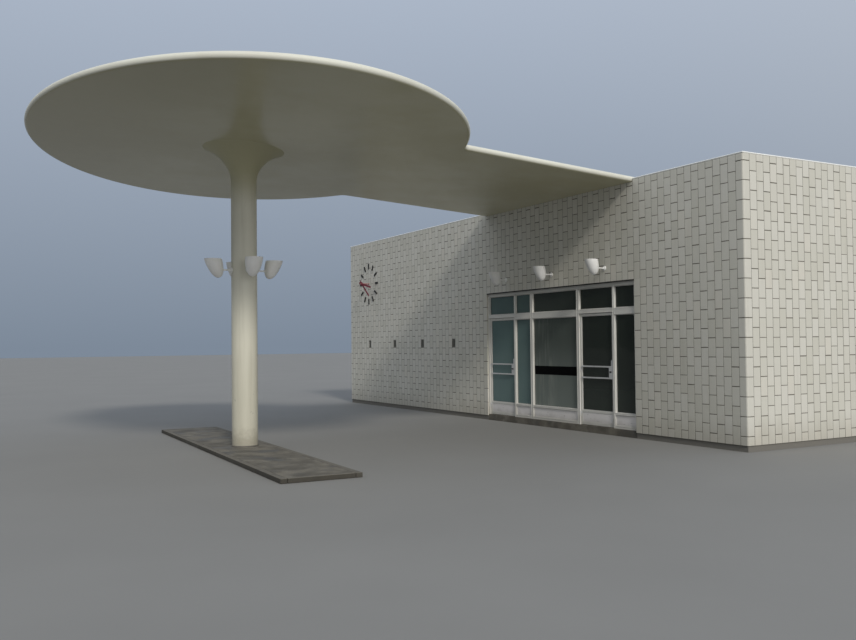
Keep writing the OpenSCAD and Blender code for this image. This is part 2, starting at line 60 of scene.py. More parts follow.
# %% The camera
eye = Vector((14.105, -4.453, 1.693))
heading, tilt, lean = (math.radians(a) for a in (-60.7458, 1.5382, 0.6014))
sight = Vector((math.sin(heading) * math.cos(tilt), math.cos(heading) * math.cos(tilt),
                math.sin(tilt)))
camera = bpy.data.objects.new("camera", bpy.data.cameras.new("camera"))
camera.data.sensor_fit = "HORIZONTAL"
camera.data.sensor_width = 36
camera.data.lens = 37.186
camera.data.clip_end = 400
turn = sight.to_track_quat("-Z", "Y").to_matrix().to_4x4() @ Matrix.Rotation(-lean, 4, "Z")
camera.matrix_world = Matrix.Translation(eye) @ turn
bpy.context.scene.collection.objects.link(camera)
bpy.context.scene.camera = camera
print("Camera at", tuple(eye), "looking along", tuple(round(n, 3) for n in sight))

# %% [markdown]
# Shader maths reads best as plain expressions. `Value` wraps one output of a node, and Python's
# operators on it add Math nodes, so `1 - mask * 0.3` builds two of them.

# %% Values
class Value:
    """One output of a node."""

    def __init__(self, mixture, socket):
        self.mixture, self.socket = mixture, socket

    def reckon(self, operation, first, second):
        return self.mixture.node("Math", {"operation": operation}, {0: first, 1: second})

    def __add__(self, other):
        return self.reckon("ADD", self, other)

    def __radd__(self, other):
        return self.reckon("ADD", other, self)

    def __sub__(self, other):
        return self.reckon("SUBTRACT", self, other)

    def __rsub__(self, other):
        return self.reckon("SUBTRACT", other, self)

    def __mul__(self, other):
        return self.reckon("MULTIPLY", self, other)

    def __rmul__(self, other):
        return self.reckon("MULTIPLY", other, self)


def colour(red, green, blue):
    """An sRGB colour, 0 to 255 as a screen shows it, in the linear values that Blender mixes."""
    def linear(c):
        c = c / 255
        return c / 12.92 if c <= 0.04045 else ((c + 0.055) / 1.055) ** 2.4
    return (linear(red), linear(green), linear(blue), 1.0)


print("Pure white is", colour(255, 255, 255), "and middle grey", colour(128, 128, 128)[:3])

# %% [markdown]
# A `Mixture` is a node tree that is being mixed, for the sky as well as for a material. `node`
# adds any node from its type, its settings and its sockets, and the other methods name the few
# nodes that come up again and again: a patchy noise, a soft step, a blend of two colours.

# %% Mixtures
class Mixture:
    """A node tree that is being mixed."""

    def __init__(self, tree, coordinates):
        self.tree = tree
        self.place = self.node("TexCoord", {}, {}, coordinates)

    def plug(self, value, socket):
        if isinstance(value, Value):
            self.tree.links.new(value.socket, socket)
        else:
            socket.default_value = value

    def node(self, kind, settings, sockets, output=0):
        made = self.tree.nodes.new("ShaderNode" + kind)
        for name, value in settings.items():
            if name == "stops":
                for i, (position, tint) in enumerate(value):
                    ramp = made.color_ramp.elements
                    stop = ramp[i] if i < 2 else ramp.new(position)
                    stop.position, stop.color = position, tint
            else:
                setattr(made, name, value)
        for name, value in sockets.items():
            self.plug(value, made.inputs[name])
        return Value(self, made.outputs[output])

    def scaled(self, x, y, z):
        """The coordinates stretched along the axes, for streaks and strokes."""
        return self.node("VectorMath", {"operation": "MULTIPLY"}, {0: self.place, 1: (x, y, z)})

    def axis(self, letter, vector=None):
        return self.node("SeparateXYZ", {}, {0: vector or self.place}, letter)

    def noise(self, scale, detail=3.0, place=None):
        return self.node("TexNoise", {}, {"Vector": place or self.place, "Scale": scale,
                                          "Detail": detail, "Roughness": 0.55})

    def rise(self, value, low, high):
        """0 below low, 1 above high, and a smooth step between them."""
        return self.node("MapRange", {"interpolation_type": "SMOOTHSTEP"},
                         {0: value, 1: low, 2: high, 3: 0.0, 4: 1.0})

    def mix(self, share, first, second):
        return self.node("Mix", {"data_type": "RGBA"}, {0: share, 6: first, 7: second}, 2)


print("A Mixture knows how to", ", ".join(word for word in vars(Mixture) if word[0] != "_"))

# %% [markdown]
# The light is a studio version of a hazy afternoon, and most of it comes from the sky. The sky is
# a pale blue-grey that grows lighter above the horizon and towards the sun's side, as hazy air
# does. In front of the kiosk it is dim low down and bright high up, so the walls under the canopy
# lie in shade. The Standard view transform shows colours as they are mixed, which keeps the
# off-white tiles off-white.

# %% The sky
scene = bpy.context.scene
scene.view_settings.view_transform = "Standard"
scene.world = bpy.data.worlds.new("studio")
scene.world.use_nodes = True
sky = Mixture(scene.world.node_tree, "Generated")


def sky_band(*stops):
    """Colours for heights from the horizon, 0, to straight up, 1."""
    return sky.node("ValToRGB", {"stops": [(height, (*tint, 1)) for height, tint in stops]},
                    {0: sky.axis("Z")}, "Color")


sunwards = sky.node("VectorMath", {"operation": "DOT_PRODUCT"},
                    {0: sky.place, 1: (0.88, 0.46, 0.1)}, "Value")
away = sky_band((0.0, (0.205, 0.252, 0.318)), (0.40, (0.425, 0.488, 0.590)),
                (1.0, (0.36, 0.43, 0.54)))
sunny = sky_band((0.0, (0.52, 0.53, 0.54)), (0.40, (0.62, 0.65, 0.69)), (1.0, (0.36, 0.43, 0.54)))
dim = sky_band((0.0, (0.115, 0.130, 0.140)), (0.36, (0.27, 0.29, 0.32)),
               (0.62, (1.17, 1.21, 1.26)), (1.0, (0.40, 0.46, 0.56)))
round_about = sky.mix(sky.rise(sunwards, -0.5, 1.0), away, sunny)
over_all = sky.mix(sky.rise(sky.axis("Y"), -0.05, -0.60), round_about, dim)
sky.plug(over_all, sky.tree.nodes["Background"].inputs["Color"])
print("The sky has", len(sky.tree.nodes), "nodes")

# %% [markdown]
# A sun with a wide angle makes the side wall the brightest and lays the canopy's blurred shadow
# on the front. A second sun, weak and very wide, stands for the bright haze round the first.

# %% Sun and haze
def sunlight(name, energy, angle, tint, towards):
    lamp = bpy.data.objects.new(name, bpy.data.lights.new(name, "SUN"))
    lamp.data.energy, lamp.data.angle, lamp.data.color = energy, math.radians(angle), tint
    lamp.rotation_euler = Vector(towards).to_track_quat("Z", "Y").to_euler()
    scene.collection.objects.link(lamp)
    print(name, "stands", round(math.degrees(math.atan2(towards[2], math.hypot(*towards[:2])))),
          "degrees high")


sunlight("sun", 1.80, 9, (1.0, 0.955, 0.88), (0.85, -0.185, 0.555))
sunlight("bright_haze", 0.46, 50, (1.0, 0.97, 0.93), (0.95, -0.06, 0.18))

# %% [markdown]
# A `Finish` is the mixture for one kind of surface. `dress` connects what was mixed to the
# Principled shader: the colour, the roughness, and a relief that a Bump node turns into a
# normal. What is the same all over, such as how metallic it is, is set on the shader itself.

# %% Finishes
class Finish(Mixture):
    """A material that is being mixed for one kind of surface."""

    def __init__(self, name):
        self.material = bpy.data.materials.new(name)
        self.material.use_nodes = True
        super().__init__(self.material.node_tree, "Object")
        self.shader = self.tree.nodes["Principled BSDF"]

    def tone(self):
        """The tone that a face attribute gives each tile or stone, from 0 to 1."""
        return self.node("Attribute", {"attribute_name": "tone"}, {}, "Fac")

    def upward(self):
        """1 where a face looks straight up, -1 where it looks straight down."""
        return self.axis("Z", self.node("NewGeometry", {}, {}, "Normal"))

    def dress(self, base, roughness, relief=None, depth=0.001, **constants):
        self.plug(base, self.shader.inputs["Base Color"])
        self.plug(roughness, self.shader.inputs["Roughness"])
        if relief is not None:
            bump = self.node("Bump", {}, {"Strength": 1.0, "Distance": depth, "Height": relief})
            self.plug(bump, self.shader.inputs["Normal"])
        for name, value in constants.items():
            self.plug(value, self.shader.inputs[name.replace("_", " ")])
        print("Finish", self.material.name, "has", len(self.tree.nodes), "nodes")


print("A Finish also knows", ", ".join(word for word in vars(Finish) if word[0] != "_"))

# %% [markdown] The floor is only a stage: a wide pale sheet that catches the shadow.

# %% The floor
def kept_mesh(name, bm):
    """The bmesh as a mesh that stays, when the bmesh itself is let go."""
    mesh = bpy.data.meshes.new(name)
    bm.to_mesh(mesh)
    bm.free()
    return mesh


floor_finish = Finish("studio_floor")
cloud = floor_finish.noise(0.35, 4.0)
floor_finish.dress(floor_finish.mix(cloud, colour(126, 125, 122), colour(138, 137, 134)),
                   0.75 + cloud * 0.1)
floor_reach = 150
bm = bmesh.new()
bmesh.ops.create_grid(bm, x_segments=1, y_segments=1, size=floor_reach)
floor = bpy.data.objects.new("studio_floor", kept_mesh("studio_floor", bm))
floor.data.materials.append(floor_finish.material)
scene.collection.objects.link(floor)
print("The floor is", 2 * floor_reach, "m wide")

# %% [markdown]
# Small helpers make the shapes. `merged` copies a CAD node and joins its loose triangles into
# whole faces. `softened` also bevels the sharp edges, because no real edge is knife sharp and a
# bevel is what catches the light. `block` adds one rounded bar or plate to a mesh.

# %% Helpers for shapes
def merged(node):
    """A copy of a CAD node's mesh, with its triangles joined."""
    bm = bmesh.new()
    bm.from_mesh(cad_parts[node].data)
    bmesh.ops.remove_doubles(bm, verts=bm.verts, dist=2e-5)
    bmesh.ops.dissolve_limit(bm, angle_limit=math.radians(0.5), verts=bm.verts, edges=bm.edges,
                             delimit=set())
    return bm


def sharp_edges(edges, angle=30):
    return [e for e in edges if e.is_manifold and e.calc_face_angle() > math.radians(angle)]


def bevel(bm, edges, width, segments=2):
    return bmesh.ops.bevel(bm, geom=edges, offset=width, offset_type="OFFSET", affect="EDGES",
                           segments=segments, profile=0.5, material=-1, clamp_overlap=True)


def softened(node, width, segments=2):
    bm = merged(node)
    bevel(bm, sharp_edges(bm.edges), width, segments)
    return bm


def edges_at(verts):
    """Every edge that meets one of the vertices, once."""
    return list(dict.fromkeys(e for v in verts for e in v.link_edges))


def verts_of(faces):
    return list(dict.fromkeys(v for f in faces for v in f.verts))


def block(bm, low, high, width=0.003, segments=2):
    """A box with rounded edges between two corners, as its faces."""
    low, high = Vector(low), Vector(high)
    before = set(bm.faces)
    made = bmesh.ops.create_cube(bm, size=1, matrix=Matrix.Translation((low + high) / 2)
                                 @ Matrix.Diagonal((*(high - low), 1)))
    if width:
        bevel(bm, edges_at(made["verts"]), width, segments)
    return [f for f in bm.faces if f not in before]


bm = bmesh.new()
print("A rounded block has", len(block(bm, (0, 0, 0), (1, 1, 1))), "faces")
bm.free()

# %% [markdown]
# `piece` turns a finished mesh into an object that rides on its CAD body and hides the node it
# stands for. Its Weighted Normal modifier lets the big faces decide the shading, so that flats
# stay flat and only the bevels look round. `solids` measures the separate solids of a CAD node:
# it walks from vertex to vertex along the edges until nothing is left to reach.

# %% Helpers for pieces
def piece(name, bm, finish, body="building", stands_for=(), angle=40):
    mesh = kept_mesh(name, bm)
    mesh.materials.append(finish.material)
    mesh.polygons.foreach_set("use_smooth", [True] * len(mesh.polygons))
    mesh.set_sharp_from_angle(angle=math.radians(angle))
    made = bpy.data.objects.new(name, mesh)
    shading = made.modifiers.new("even_shading", "WEIGHTED_NORMAL")
    shading.keep_sharp = True
    scene.collection.objects.link(made)
    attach(made, body)
    if stands_for:
        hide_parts(*stands_for)
    print("Piece", name, "has", len(mesh.polygons), "faces")


def solids(node):
    """The box of each separate solid in a CAD node, from left to right and from the ground up."""
    bm = merged(node)
    left, boxes = set(bm.verts), []
    while left:
        reached = [left.pop()]
        own = list(reached)
        while reached:
            for edge in reached.pop().link_edges:
                for v in edge.verts:
                    if v in left:
                        left.remove(v)
                        own.append(v)
                        reached.append(v)
        boxes.append((Vector(min(v.co[i] for v in own) for i in range(3)),
                      Vector(max(v.co[i] for v in own) for i in range(3))))
    bm.free()
    return sorted(boxes, key=lambda b: (round(b[0].x, 3), b[0].z))


print("Helpers are ready; the frame's bars are", len(solids("frame_bars")), "solids")

# %% [markdown]
# The canopy is cast concrete, painted cream. Rain has left faint tide marks on it, and the
# underside has large soft blotches where the formwork and old patches show through the paint.
# The underside is also painted darker and more olive than the rest, as painted shade, and darker
# still away from the kiosk. Layers of noise at three sizes give the marks: metres for the
# blotches, decimetres for the grime, millimetres for the roller's orange-peel in the bump.

# %% Slab paint
slab_paint = Finish("slab_paint")
blotch = slab_paint.noise(0.55, 4.0)
grime = slab_paint.noise(3.2, 5.0)
peel = slab_paint.noise(90.0, 2.0)
board = slab_paint.node("TexWave", {"wave_type": "BANDS", "bands_direction": "X"},
                        {"Vector": slab_paint.place, "Scale": 0.31, "Distortion": 0.0})
cream = slab_paint.mix(slab_paint.rise(blotch, 0.35, 0.65), colour(210, 209, 197),
                       colour(216, 216, 204))
cream = slab_paint.mix(slab_paint.rise(grime, 0.52, 0.75) * 0.16, cream, colour(186, 181, 158))
# Painted shade: the underside's colours are darker and more olive than the rim's, and darker still
# away from the kiosk.
painted_shade_under = slab_paint.mix(slab_paint.rise(blotch, 0.30, 0.70), colour(181, 176, 143),
                       colour(194, 190, 162))
painted_shade_under = slab_paint.mix(slab_paint.rise(slab_paint.axis("Y"), 0.5, -2.8) * 0.85, painted_shade_under,
                       colour(164, 159, 130))
underneath = slab_paint.rise(slab_paint.upward(), -0.55, -0.95)
cream = slab_paint.mix(underneath, cream, painted_shade_under)
slab_paint.dress(cream, 0.52 - underneath * 0.34 + grime * 0.08,
                 peel * 0.12 + slab_paint.rise(board, 0.0, 0.03) * 0.15 + blotch * 1.2, 0.0015,
                 IOR=1.44)

# %% [markdown]
# The slab itself is a copy of the CAD plate. Its long rim is a full round nose in the
# photograph, so both rim edges are bevelled by almost half the thickness, with eight segments.
# The straight end that lies on the wall stays square. A narrow inset around the two big faces
# keeps the smooth shading of the nose from bleeding across the flat concrete.

# %% Canopy slab
rim_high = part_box("canopy_slab")[1]
slab_t, fall = 0.1, math.radians(3.7)
slab_up = Vector((0, math.sin(fall), math.cos(fall)))
bm = merged("canopy_slab")
bm.normal_update()
flats = [f for f in bm.faces if abs(f.normal.dot(slab_up)) > 0.999]
rim = [e for f in flats for e in f.edges
       if sum(v.co.y for v in e.verts) / 2 < rim_high.y - 0.002]
bevel(bm, rim, slab_t / 2 - 0.001, 8)
bm.normal_update()
flats = [f for f in bm.faces if abs(f.normal.dot(slab_up)) > 0.9999 and f.calc_area() > 1]
bmesh.ops.inset_region(bm, faces=flats, thickness=0.012, depth=0, use_even_offset=True)
piece("canopy_shell", bm, slab_paint, stands_for=["canopy_slab"], angle=60)
print("Slab has", len(flats), "flat sides")

# %% [markdown]
# Bitumen felt lies on the slab and on the kiosk's roof, in strips one metre wide. Each strip
# laps over the next, and the lap shows as a low step with a darker line of bitumen. A sawtooth
# along X gives the steps, and fine noise gives the mineral grit.

# %% Roofing felt
roof_felt = Finish("roof_felt")
lap = roof_felt.node("Math", {"operation": "FRACT"}, {0: roof_felt.axis("X") + 0.37})
grit = roof_felt.noise(420.0, 2.0)
puddle = roof_felt.noise(0.7, 4.0)
felt = roof_felt.mix(roof_felt.rise(puddle, 0.4, 0.65), colour(86, 87, 86), colour(112, 112, 108))
felt = roof_felt.mix(roof_felt.rise(lap, 0.05, 0.0) * 0.7, felt, colour(40, 40, 41))
felt = roof_felt.mix(roof_felt.rise(grit, 0.55, 0.7) * 0.35, felt, colour(150, 150, 146))
roof_felt.dress(felt, 0.86 + grit * 0.1, grit * 0.4 + roof_felt.rise(lap, 0.0, 0.015) * 2.0,
                0.002)
piece("felt_sheets", softened("roofing", 0.003, 2), roof_felt,
      stands_for=["roofing"])

# %% [markdown]
# The column is painted like the slab, but it gets touched: splashes and a grey tide mark near
# the ground, and runs of rain below the flare. Painted shade darkens and yellows the paint
# towards the flare, from 3.9 m up, and the paint is also darker towards the bottom, below 2.7 m.
# The height above the ground drives these masks, so one finish serves the whole column.

# %% Column paint
column_paint = Finish("column_paint")
height = column_paint.axis("Z")
runs = column_paint.noise(1.0, 4.0, column_paint.scaled(9.0, 9.0, 0.5))
scuff = column_paint.noise(14.0, 6.0)
soft = column_paint.noise(1.1, 3.0)
tone = column_paint.mix(soft, colour(203, 201, 186), colour(218, 216, 202))
tone = column_paint.mix(column_paint.rise(runs, 0.5, 0.75) * 0.3, tone, colour(166, 162, 144))
# Painted shade: darker, yellower paint towards the flare.
tone = column_paint.mix(column_paint.rise(height, 3.9, 4.6) * 0.85, tone, colour(173, 169, 133))
tone = column_paint.mix(column_paint.rise(height, 2.7, 0.4) * 0.5, tone, colour(172, 168, 150))
splash = column_paint.rise(height + (scuff - 0.5) * 0.35, 0.42, 0.08)
tone = column_paint.mix(splash * 0.55, tone, colour(128, 121, 106))
chips = column_paint.rise(scuff, 0.66, 0.69) * column_paint.rise(height, 1.4, 0.3)
tone = column_paint.mix(chips * 0.8, tone, colour(150, 148, 140))
column_paint.dress(tone, 0.46 + scuff * 0.2, scuff * 0.25 - chips * 0.4 + soft * 0.6, 0.0015)

# %% [markdown]
# The column, the lamps' roses and bulbs, the knobs and the screws are all turned parts, so each
# is a profile spun round its axis. `turned` does that for any list of radius and height pairs
# that starts and ends on the axis, and `hoop` does it for a ring of round wire. A spin leaves
# its poles and its seam doubled, so doubles are merged before the normals are recalculated.

# %% Turned parts
def spun(bm, verts, matrix, steps):
    """Spin a line or loop once round Z, close it and move it by the matrix."""
    before = set(bm.faces)
    bmesh.ops.spin(bm, geom=verts + edges_at(verts), cent=(0, 0, 0), axis=(0, 0, 1),
                   angle=math.tau, steps=steps, use_merge=True)
    bmesh.ops.remove_doubles(bm, verts=verts_of(f for f in bm.faces if f not in before), dist=1e-6)
    faces = [f for f in bm.faces if f not in before]
    bmesh.ops.recalc_face_normals(bm, faces=faces)
    bmesh.ops.transform(bm, matrix=matrix, verts=verts_of(faces))


def turned(bm, profile, matrix=Matrix.Identity(4), steps=32):
    """A solid of revolution about the matrix's Z axis."""
    line = [bm.verts.new((r, 0, z)) for r, z in profile]
    for pair in zip(line, line[1:]):
        bm.edges.new(pair)
    spun(bm, line, matrix, steps)


def hoop(bm, radius, thickness, matrix, steps=40, sides=8):
    """A ring of round wire about the matrix's Z axis."""
    section = Matrix.Translation((radius, 0, 0)) @ Matrix.Rotation(math.pi / 2, 4, "X")
    circle = bmesh.ops.create_circle(bm, segments=sides, radius=thickness, matrix=section)
    spun(bm, circle["verts"], matrix, steps)


bm = bmesh.new()
turned(bm, [(0, 0), (1, 0), (1, 1), (0, 1)])
print("A plain drum has", len(bm.faces), "faces")
bm.free()

# %% [markdown]
# Column and flare are one smooth shape, so they are one piece. A profile line, straight up and
# then most of a quarter of an ellipse outwards, is spun round the axis. The slab cuts the curve
# before it runs level. The slab also slopes, so the flare is sheared afterwards: every ring
# follows the slope by as much as it is up the flare.

# %% Column with its flare
shaft_low, shaft_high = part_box("column_shaft")
flare_low, flare_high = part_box("column_flare")
shaft_r, flare_r = shaft_high.x, flare_high.x
slope = math.tan(fall)
flare_top = flare_high.z - flare_r * slope
flare_h = flare_top - flare_low.z
shaft_h = flare_low.z - shaft_low.z
curve_share, shaft_rings, flare_rings = 0.9, 6, 24


def quarter(share):
    """How far a quarter circle has swung outwards at this share of its height."""
    return 1 - math.sqrt(1 - share ** 2)


bm = bmesh.new()
profile = [(0.0, shaft_low.z)]
profile += [(shaft_r, shaft_low.z + shaft_h * k / shaft_rings) for k in range(shaft_rings + 1)]
for k in range(1, flare_rings + 1):
    swing = quarter(curve_share * k / flare_rings) / quarter(curve_share)
    profile.append((shaft_r + (flare_r - shaft_r) * swing, flare_low.z + flare_h * k / flare_rings))
profile.append((0.0, flare_top))
turned(bm, profile, steps=96)
for v in bm.verts:
    v.co.z -= v.co.y * slope * max(0.0, (v.co.z - flare_low.z) / flare_h)
print("The column is", round(2 * shaft_r, 3), "m thick, the flare", round(2 * flare_r, 3), "m wide")
piece("column_with_flare", bm, column_paint,
      stands_for=["column_shaft", "column_flare"], angle=50)

# %% [markdown]
# Where the column meets the island a bead of grey mastic closes the joint. It is a hoop, half
# sunk in the island.

# %% Mastic bead
mastic = Finish("mastic")
crumb = mastic.noise(60.0, 3.0)
mastic.dress(mastic.mix(crumb, colour(84, 82, 78), colour(112, 109, 102)), 0.7 + crumb * 0.15,
             crumb, 0.001)
bm = bmesh.new()
hoop(bm, shaft_r + 0.004, 0.012, Matrix.Translation((0, 0, shaft_low.z + 0.003)), 64, 10)
piece("column_mastic", bm, mastic)

# %% [markdown]
# The island is edged with kerb stones about a metre long. Their sides are black, partly with
# splashed dirt and partly with painted shade, and their tops are trodden paler, so the finish asks
# which way a face looks: the upward part of the normal chooses between the two. Each stone also
# has its own tone in a face attribute, as stones of one batch never match.

# %% Kerb stone finish
kerb_stone = Finish("kerb_stone")
fleck = kerb_stone.noise(55.0, 4.0)
patch = kerb_stone.noise(5.0, 4.0)
# The sides' dark colours are splashed dirt and painted shade.
dirt_and_painted_shade = kerb_stone.mix(fleck, colour(44, 42, 37), colour(76, 72, 63))
trodden = kerb_stone.mix(patch, colour(84, 80, 72), colour(124, 120, 111))
stone = kerb_stone.mix(kerb_stone.rise(kerb_stone.upward(), 0.35, 0.85), dirt_and_painted_shade, trodden)
stone = kerb_stone.mix(kerb_stone.tone() * 0.22, stone, colour(104, 101, 93))
stone = kerb_stone.mix(kerb_stone.rise(patch, 0.54, 0.66) * 0.4, stone, colour(52, 50, 46))
kerb_stone.dress(stone, 0.78 + fleck * 0.15, fleck * 0.8 + patch, 0.002)

# %% [markdown]
# The stones are laid along the four sides of the CAD kerb with an open joint between them. The
# long sides run through and the short sides fit between, as a paviour lays them. The island lies
# a little askew to the kiosk, so its CAD copy is turned straight to be measured, the stones are
# laid along X and Y, and the finished row is turned back.

# %% Kerb stones
random.seed(7)
askew = Matrix.Rotation(math.radians(-1.7), 4, "Z")


def straight_box(node):
    """The lowest and highest corner of an island node before it is turned askew."""
    bm = merged(node)
    bmesh.ops.transform(bm, matrix=askew.inverted(), verts=bm.verts)
    corners = [Vector(limit(v.co[i] for v in bm.verts) for i in range(3)) for limit in (min, max)]
    bm.free()
    return corners


kerb_low, kerb_high = straight_box("island_kerb")
top_low, top_high = straight_box("island_top")
kerb_w = top_low.x - kerb_low.x
print("The kerb is", round(kerb_high.x - kerb_low.x, 3), "m long and", round(kerb_w, 3), "m wide")


def run_of_stones(start, end, length=1.0, joint=0.004):
    """The two ends of each stone along a run."""
    count = max(1, round((end - start) / length))
    step = (end - start) / count
    return [(start + i * step + (joint / 2 if i else 0),
             start + (i + 1) * step - (joint / 2 if i < count - 1 else 0)) for i in range(count)]


bm = bmesh.new()
tone_layer = bm.faces.layers.float.new("tone")
corner_joint = kerb_w + 0.004
stones = []
for y0 in (kerb_low.y, kerb_high.y - kerb_w):
    for x0, x1 in run_of_stones(kerb_low.x, kerb_high.x):
        stones.append(((x0, y0, 0), (x1, y0 + kerb_w, kerb_high.z)))
for x0 in (kerb_low.x, kerb_high.x - kerb_w):
    for y0, y1 in run_of_stones(kerb_low.y + corner_joint, kerb_high.y - corner_joint):
        stones.append(((x0, y0, 0), (x0 + kerb_w, y1, kerb_high.z)))
for low, high in stones:
    shade = random.random()
    for face in block(bm, low, high, 0.009, 3):
        face[tone_layer] = shade
bmesh.ops.transform(bm, matrix=askew, verts=bm.verts)
piece("kerb_stones", bm, kerb_stone, stands_for=["island_kerb"])
print(len(stones), "stones")

# %% [markdown]
# Inside the kerb lies a trowelled concrete slab, cut by two expansion joints. It is stained
# where fuel and water have dripped: dark soft-edged spots on a mottled grey, and pale patches
# where the surface has been scrubbed.

# %% Island top
yard_concrete = Finish("yard_concrete")
mottle = yard_concrete.noise(2.6, 6.0)
sand = yard_concrete.noise(180.0, 2.0)
spots = yard_concrete.rise(yard_concrete.noise(1.7, 3.0), 0.52, 0.62)
pale = yard_concrete.rise(yard_concrete.noise(4.3, 5.0), 0.50, 0.72)
grey = yard_concrete.mix(yard_concrete.rise(mottle, 0.32, 0.68), colour(74, 70, 61),
                         colour(112, 107, 96))
grey = yard_concrete.mix(pale * 0.5, grey, colour(138, 134, 124))
grey = yard_concrete.mix(spots * 0.6, grey, colour(48, 46, 42))
grey = yard_concrete.mix(sand * 0.2, grey, colour(150, 148, 142))
yard_concrete.dress(grey, 0.86 - spots * 0.25, sand * 0.5 + mottle, 0.0015)

edge_joint = 0.003
bm = bmesh.new()
for x0, x1 in run_of_stones(top_low.x + edge_joint, top_high.x - edge_joint, 2.4, 0.008):
    block(bm, (x0, top_low.y + edge_joint, 0.0),
          (x1, top_high.y - edge_joint, top_high.z - 0.001), 0.005, 2)
bmesh.ops.transform(bm, matrix=askew, verts=bm.verts)
piece("island_concrete", bm, yard_concrete, stands_for=["island_top"])

# %% [markdown]
# The lamps are enamelled sheet steel. Enamel is glassy, so it has a low roughness, and it
# gathers dust on what faces up. The mask for the dust comes from a slow noise, and a rare chip
# shows darker steel.

# %% Lamp enamel
lamp_enamel = Finish("lamp_enamel")
dust = lamp_enamel.noise(7.0, 5.0)
speck = lamp_enamel.noise(70.0, 3.0)
enamel = lamp_enamel.mix(dust, colour(228, 228, 226), colour(242, 242, 240))
enamel = lamp_enamel.mix(lamp_enamel.rise(speck, 0.68, 0.74) * 0.30, enamel, colour(150, 146, 138))
lamp_enamel.dress(enamel, 0.42 + dust * 0.2, speck * 0.3, 0.0006)

lamp_glow = Finish("lamp_glass")
milk = lamp_glow.noise(12.0, 2.0)
lamp_glow.dress(lamp_glow.mix(milk, colour(226, 226, 220), colour(238, 238, 232)),
                0.25 + milk * 0.1)

# %% [markdown]
# A shade is an uneven cup: it bulges a little towards what carries it, and slants and rounds in
# on its outer side. Every level of it is still a circle, only the centre wanders, so the cup is
# a loft: a stack of circles of changing centre and radius, joined with `bridge_loops`. Its two
# sides follow Bezier curves whose points lie at the same heights. Solidify gives the sheet its
# thickness. The mesh is kept apart, so that each lamp can take a copy.

# %% A lamp shade
shade_t, shade_bulge, shade_round = 0.004, 0.031, 0.090
column_rim_r, wall_rim_r = 0.141, 0.119


def bezier(t, a, b, c, d):
    return a * (1 - t) ** 3 + b * 3 * t * (1 - t) ** 2 + c * 3 * t * t * (1 - t) + d * t ** 3


def shade_bottom(rim_r):
    """How far behind the middle of the rim the lowest point of a shade lies."""
    return shade_round - shade_bulge - rim_r


def shade_copy(rim_r, height, levels=18):
    """A shade with the middle of its rim over the origin and its bottom at z = 0."""
    bm = bmesh.new()
    rings = []
    for k in range(levels):
        t = 0.985 * k / (levels - 1)
        outer = bezier(t, rim_r, 0.745 * rim_r, 0.0, shade_bottom(rim_r))
        inner = bezier(t, -rim_r, -rim_r - 0.039, -rim_r - 0.049, shade_bottom(rim_r))
        level = bezier(t, height, 0.59 * height, 0.0, 0.0)
        centre = Matrix.Translation(((outer + inner) / 2, 0, level))
        circle = bmesh.ops.create_circle(bm, segments=40, radius=(outer - inner) / 2, matrix=centre)
        rings.append(edges_at(circle["verts"]))
    for upper, lower in zip(rings, rings[1:]):
        bmesh.ops.bridge_loops(bm, edges=upper + lower)
    bmesh.ops.holes_fill(bm, edges=rings[-1], sides=0)
    bmesh.ops.recalc_face_normals(bm, faces=bm.faces)
    lowest = min(bm.faces, key=lambda f: f.calc_center_median().z)
    if lowest.normal.z > 0:
        bmesh.ops.reverse_faces(bm, faces=bm.faces)
    bmesh.ops.solidify(bm, geom=bm.faces, thickness=shade_t)
    print("A shade of rim radius", rim_r, "has", len(bm.faces), "faces")
    return kept_mesh("shade", bm)


print("The lowest points of the shades lie", round(-shade_bottom(column_rim_r), 3), "and",
      round(-shade_bottom(wall_rim_r), 3), "m from the middle of the rim")

# %% [markdown]
# The rest of a lamp is round: a cast rose that is screwed on, a tube for an arm, a porcelain
# holder in the bottom of the cup and a frosted bulb in it. So each is only a profile, a list of
# radius and height pairs, that `turned` will spin.

# %% Lamp fittings
arm_up, arm_r, rose_r = 0.130, 0.012, 0.045
bead_r, screw_ring, screw_turns = 0.0032, 0.035, (0.5, 2.6, 4.7)
holder = [(0, 0.003), (0.014, 0.003), (0.014, 0.050), (0.030, 0.056), (0.030, 0.100),
          (0.024, 0.115), (0, 0.115)]
bulb = [(0, 0.112), (0.02, 0.112), (0.03, 0.135), (0.036, 0.16), (0.033, 0.19), (0.018, 0.208),
        (0, 0.212)]


def lamp_arm(root, arm_end):
    """The profile of a rose and its arm, from the wall outwards; root is what lies in the wall."""
    return [(0, 0), (rose_r, 0), (rose_r, root + 0.005), (rose_r - 0.003, root + 0.010),
            (0.026, root + 0.012), (0.018, root + 0.017), (arm_r, root + 0.026),
            (arm_r, arm_end - 0.008), (0.02, arm_end - 0.006), (0.02, arm_end + 0.006),
            (0, arm_end + 0.006)]


print("A rose with its arm is a profile of", len(lamp_arm(0.0, 0.2)), "points")

# %% [markdown]
# Seven lamps share that form: four larger ones round the column and three on the wall. Each spot
# is a matrix with its origin under the middle of the shade's rim and -X towards what carries it,
# so one function sets shade, rim bead, arm, rose, screws, holder and bulb for all of them.

# %% The lamps
wall_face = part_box("front_tiles")[0].y
lamp_reach, lamp_pitch = 0.310, 1.590


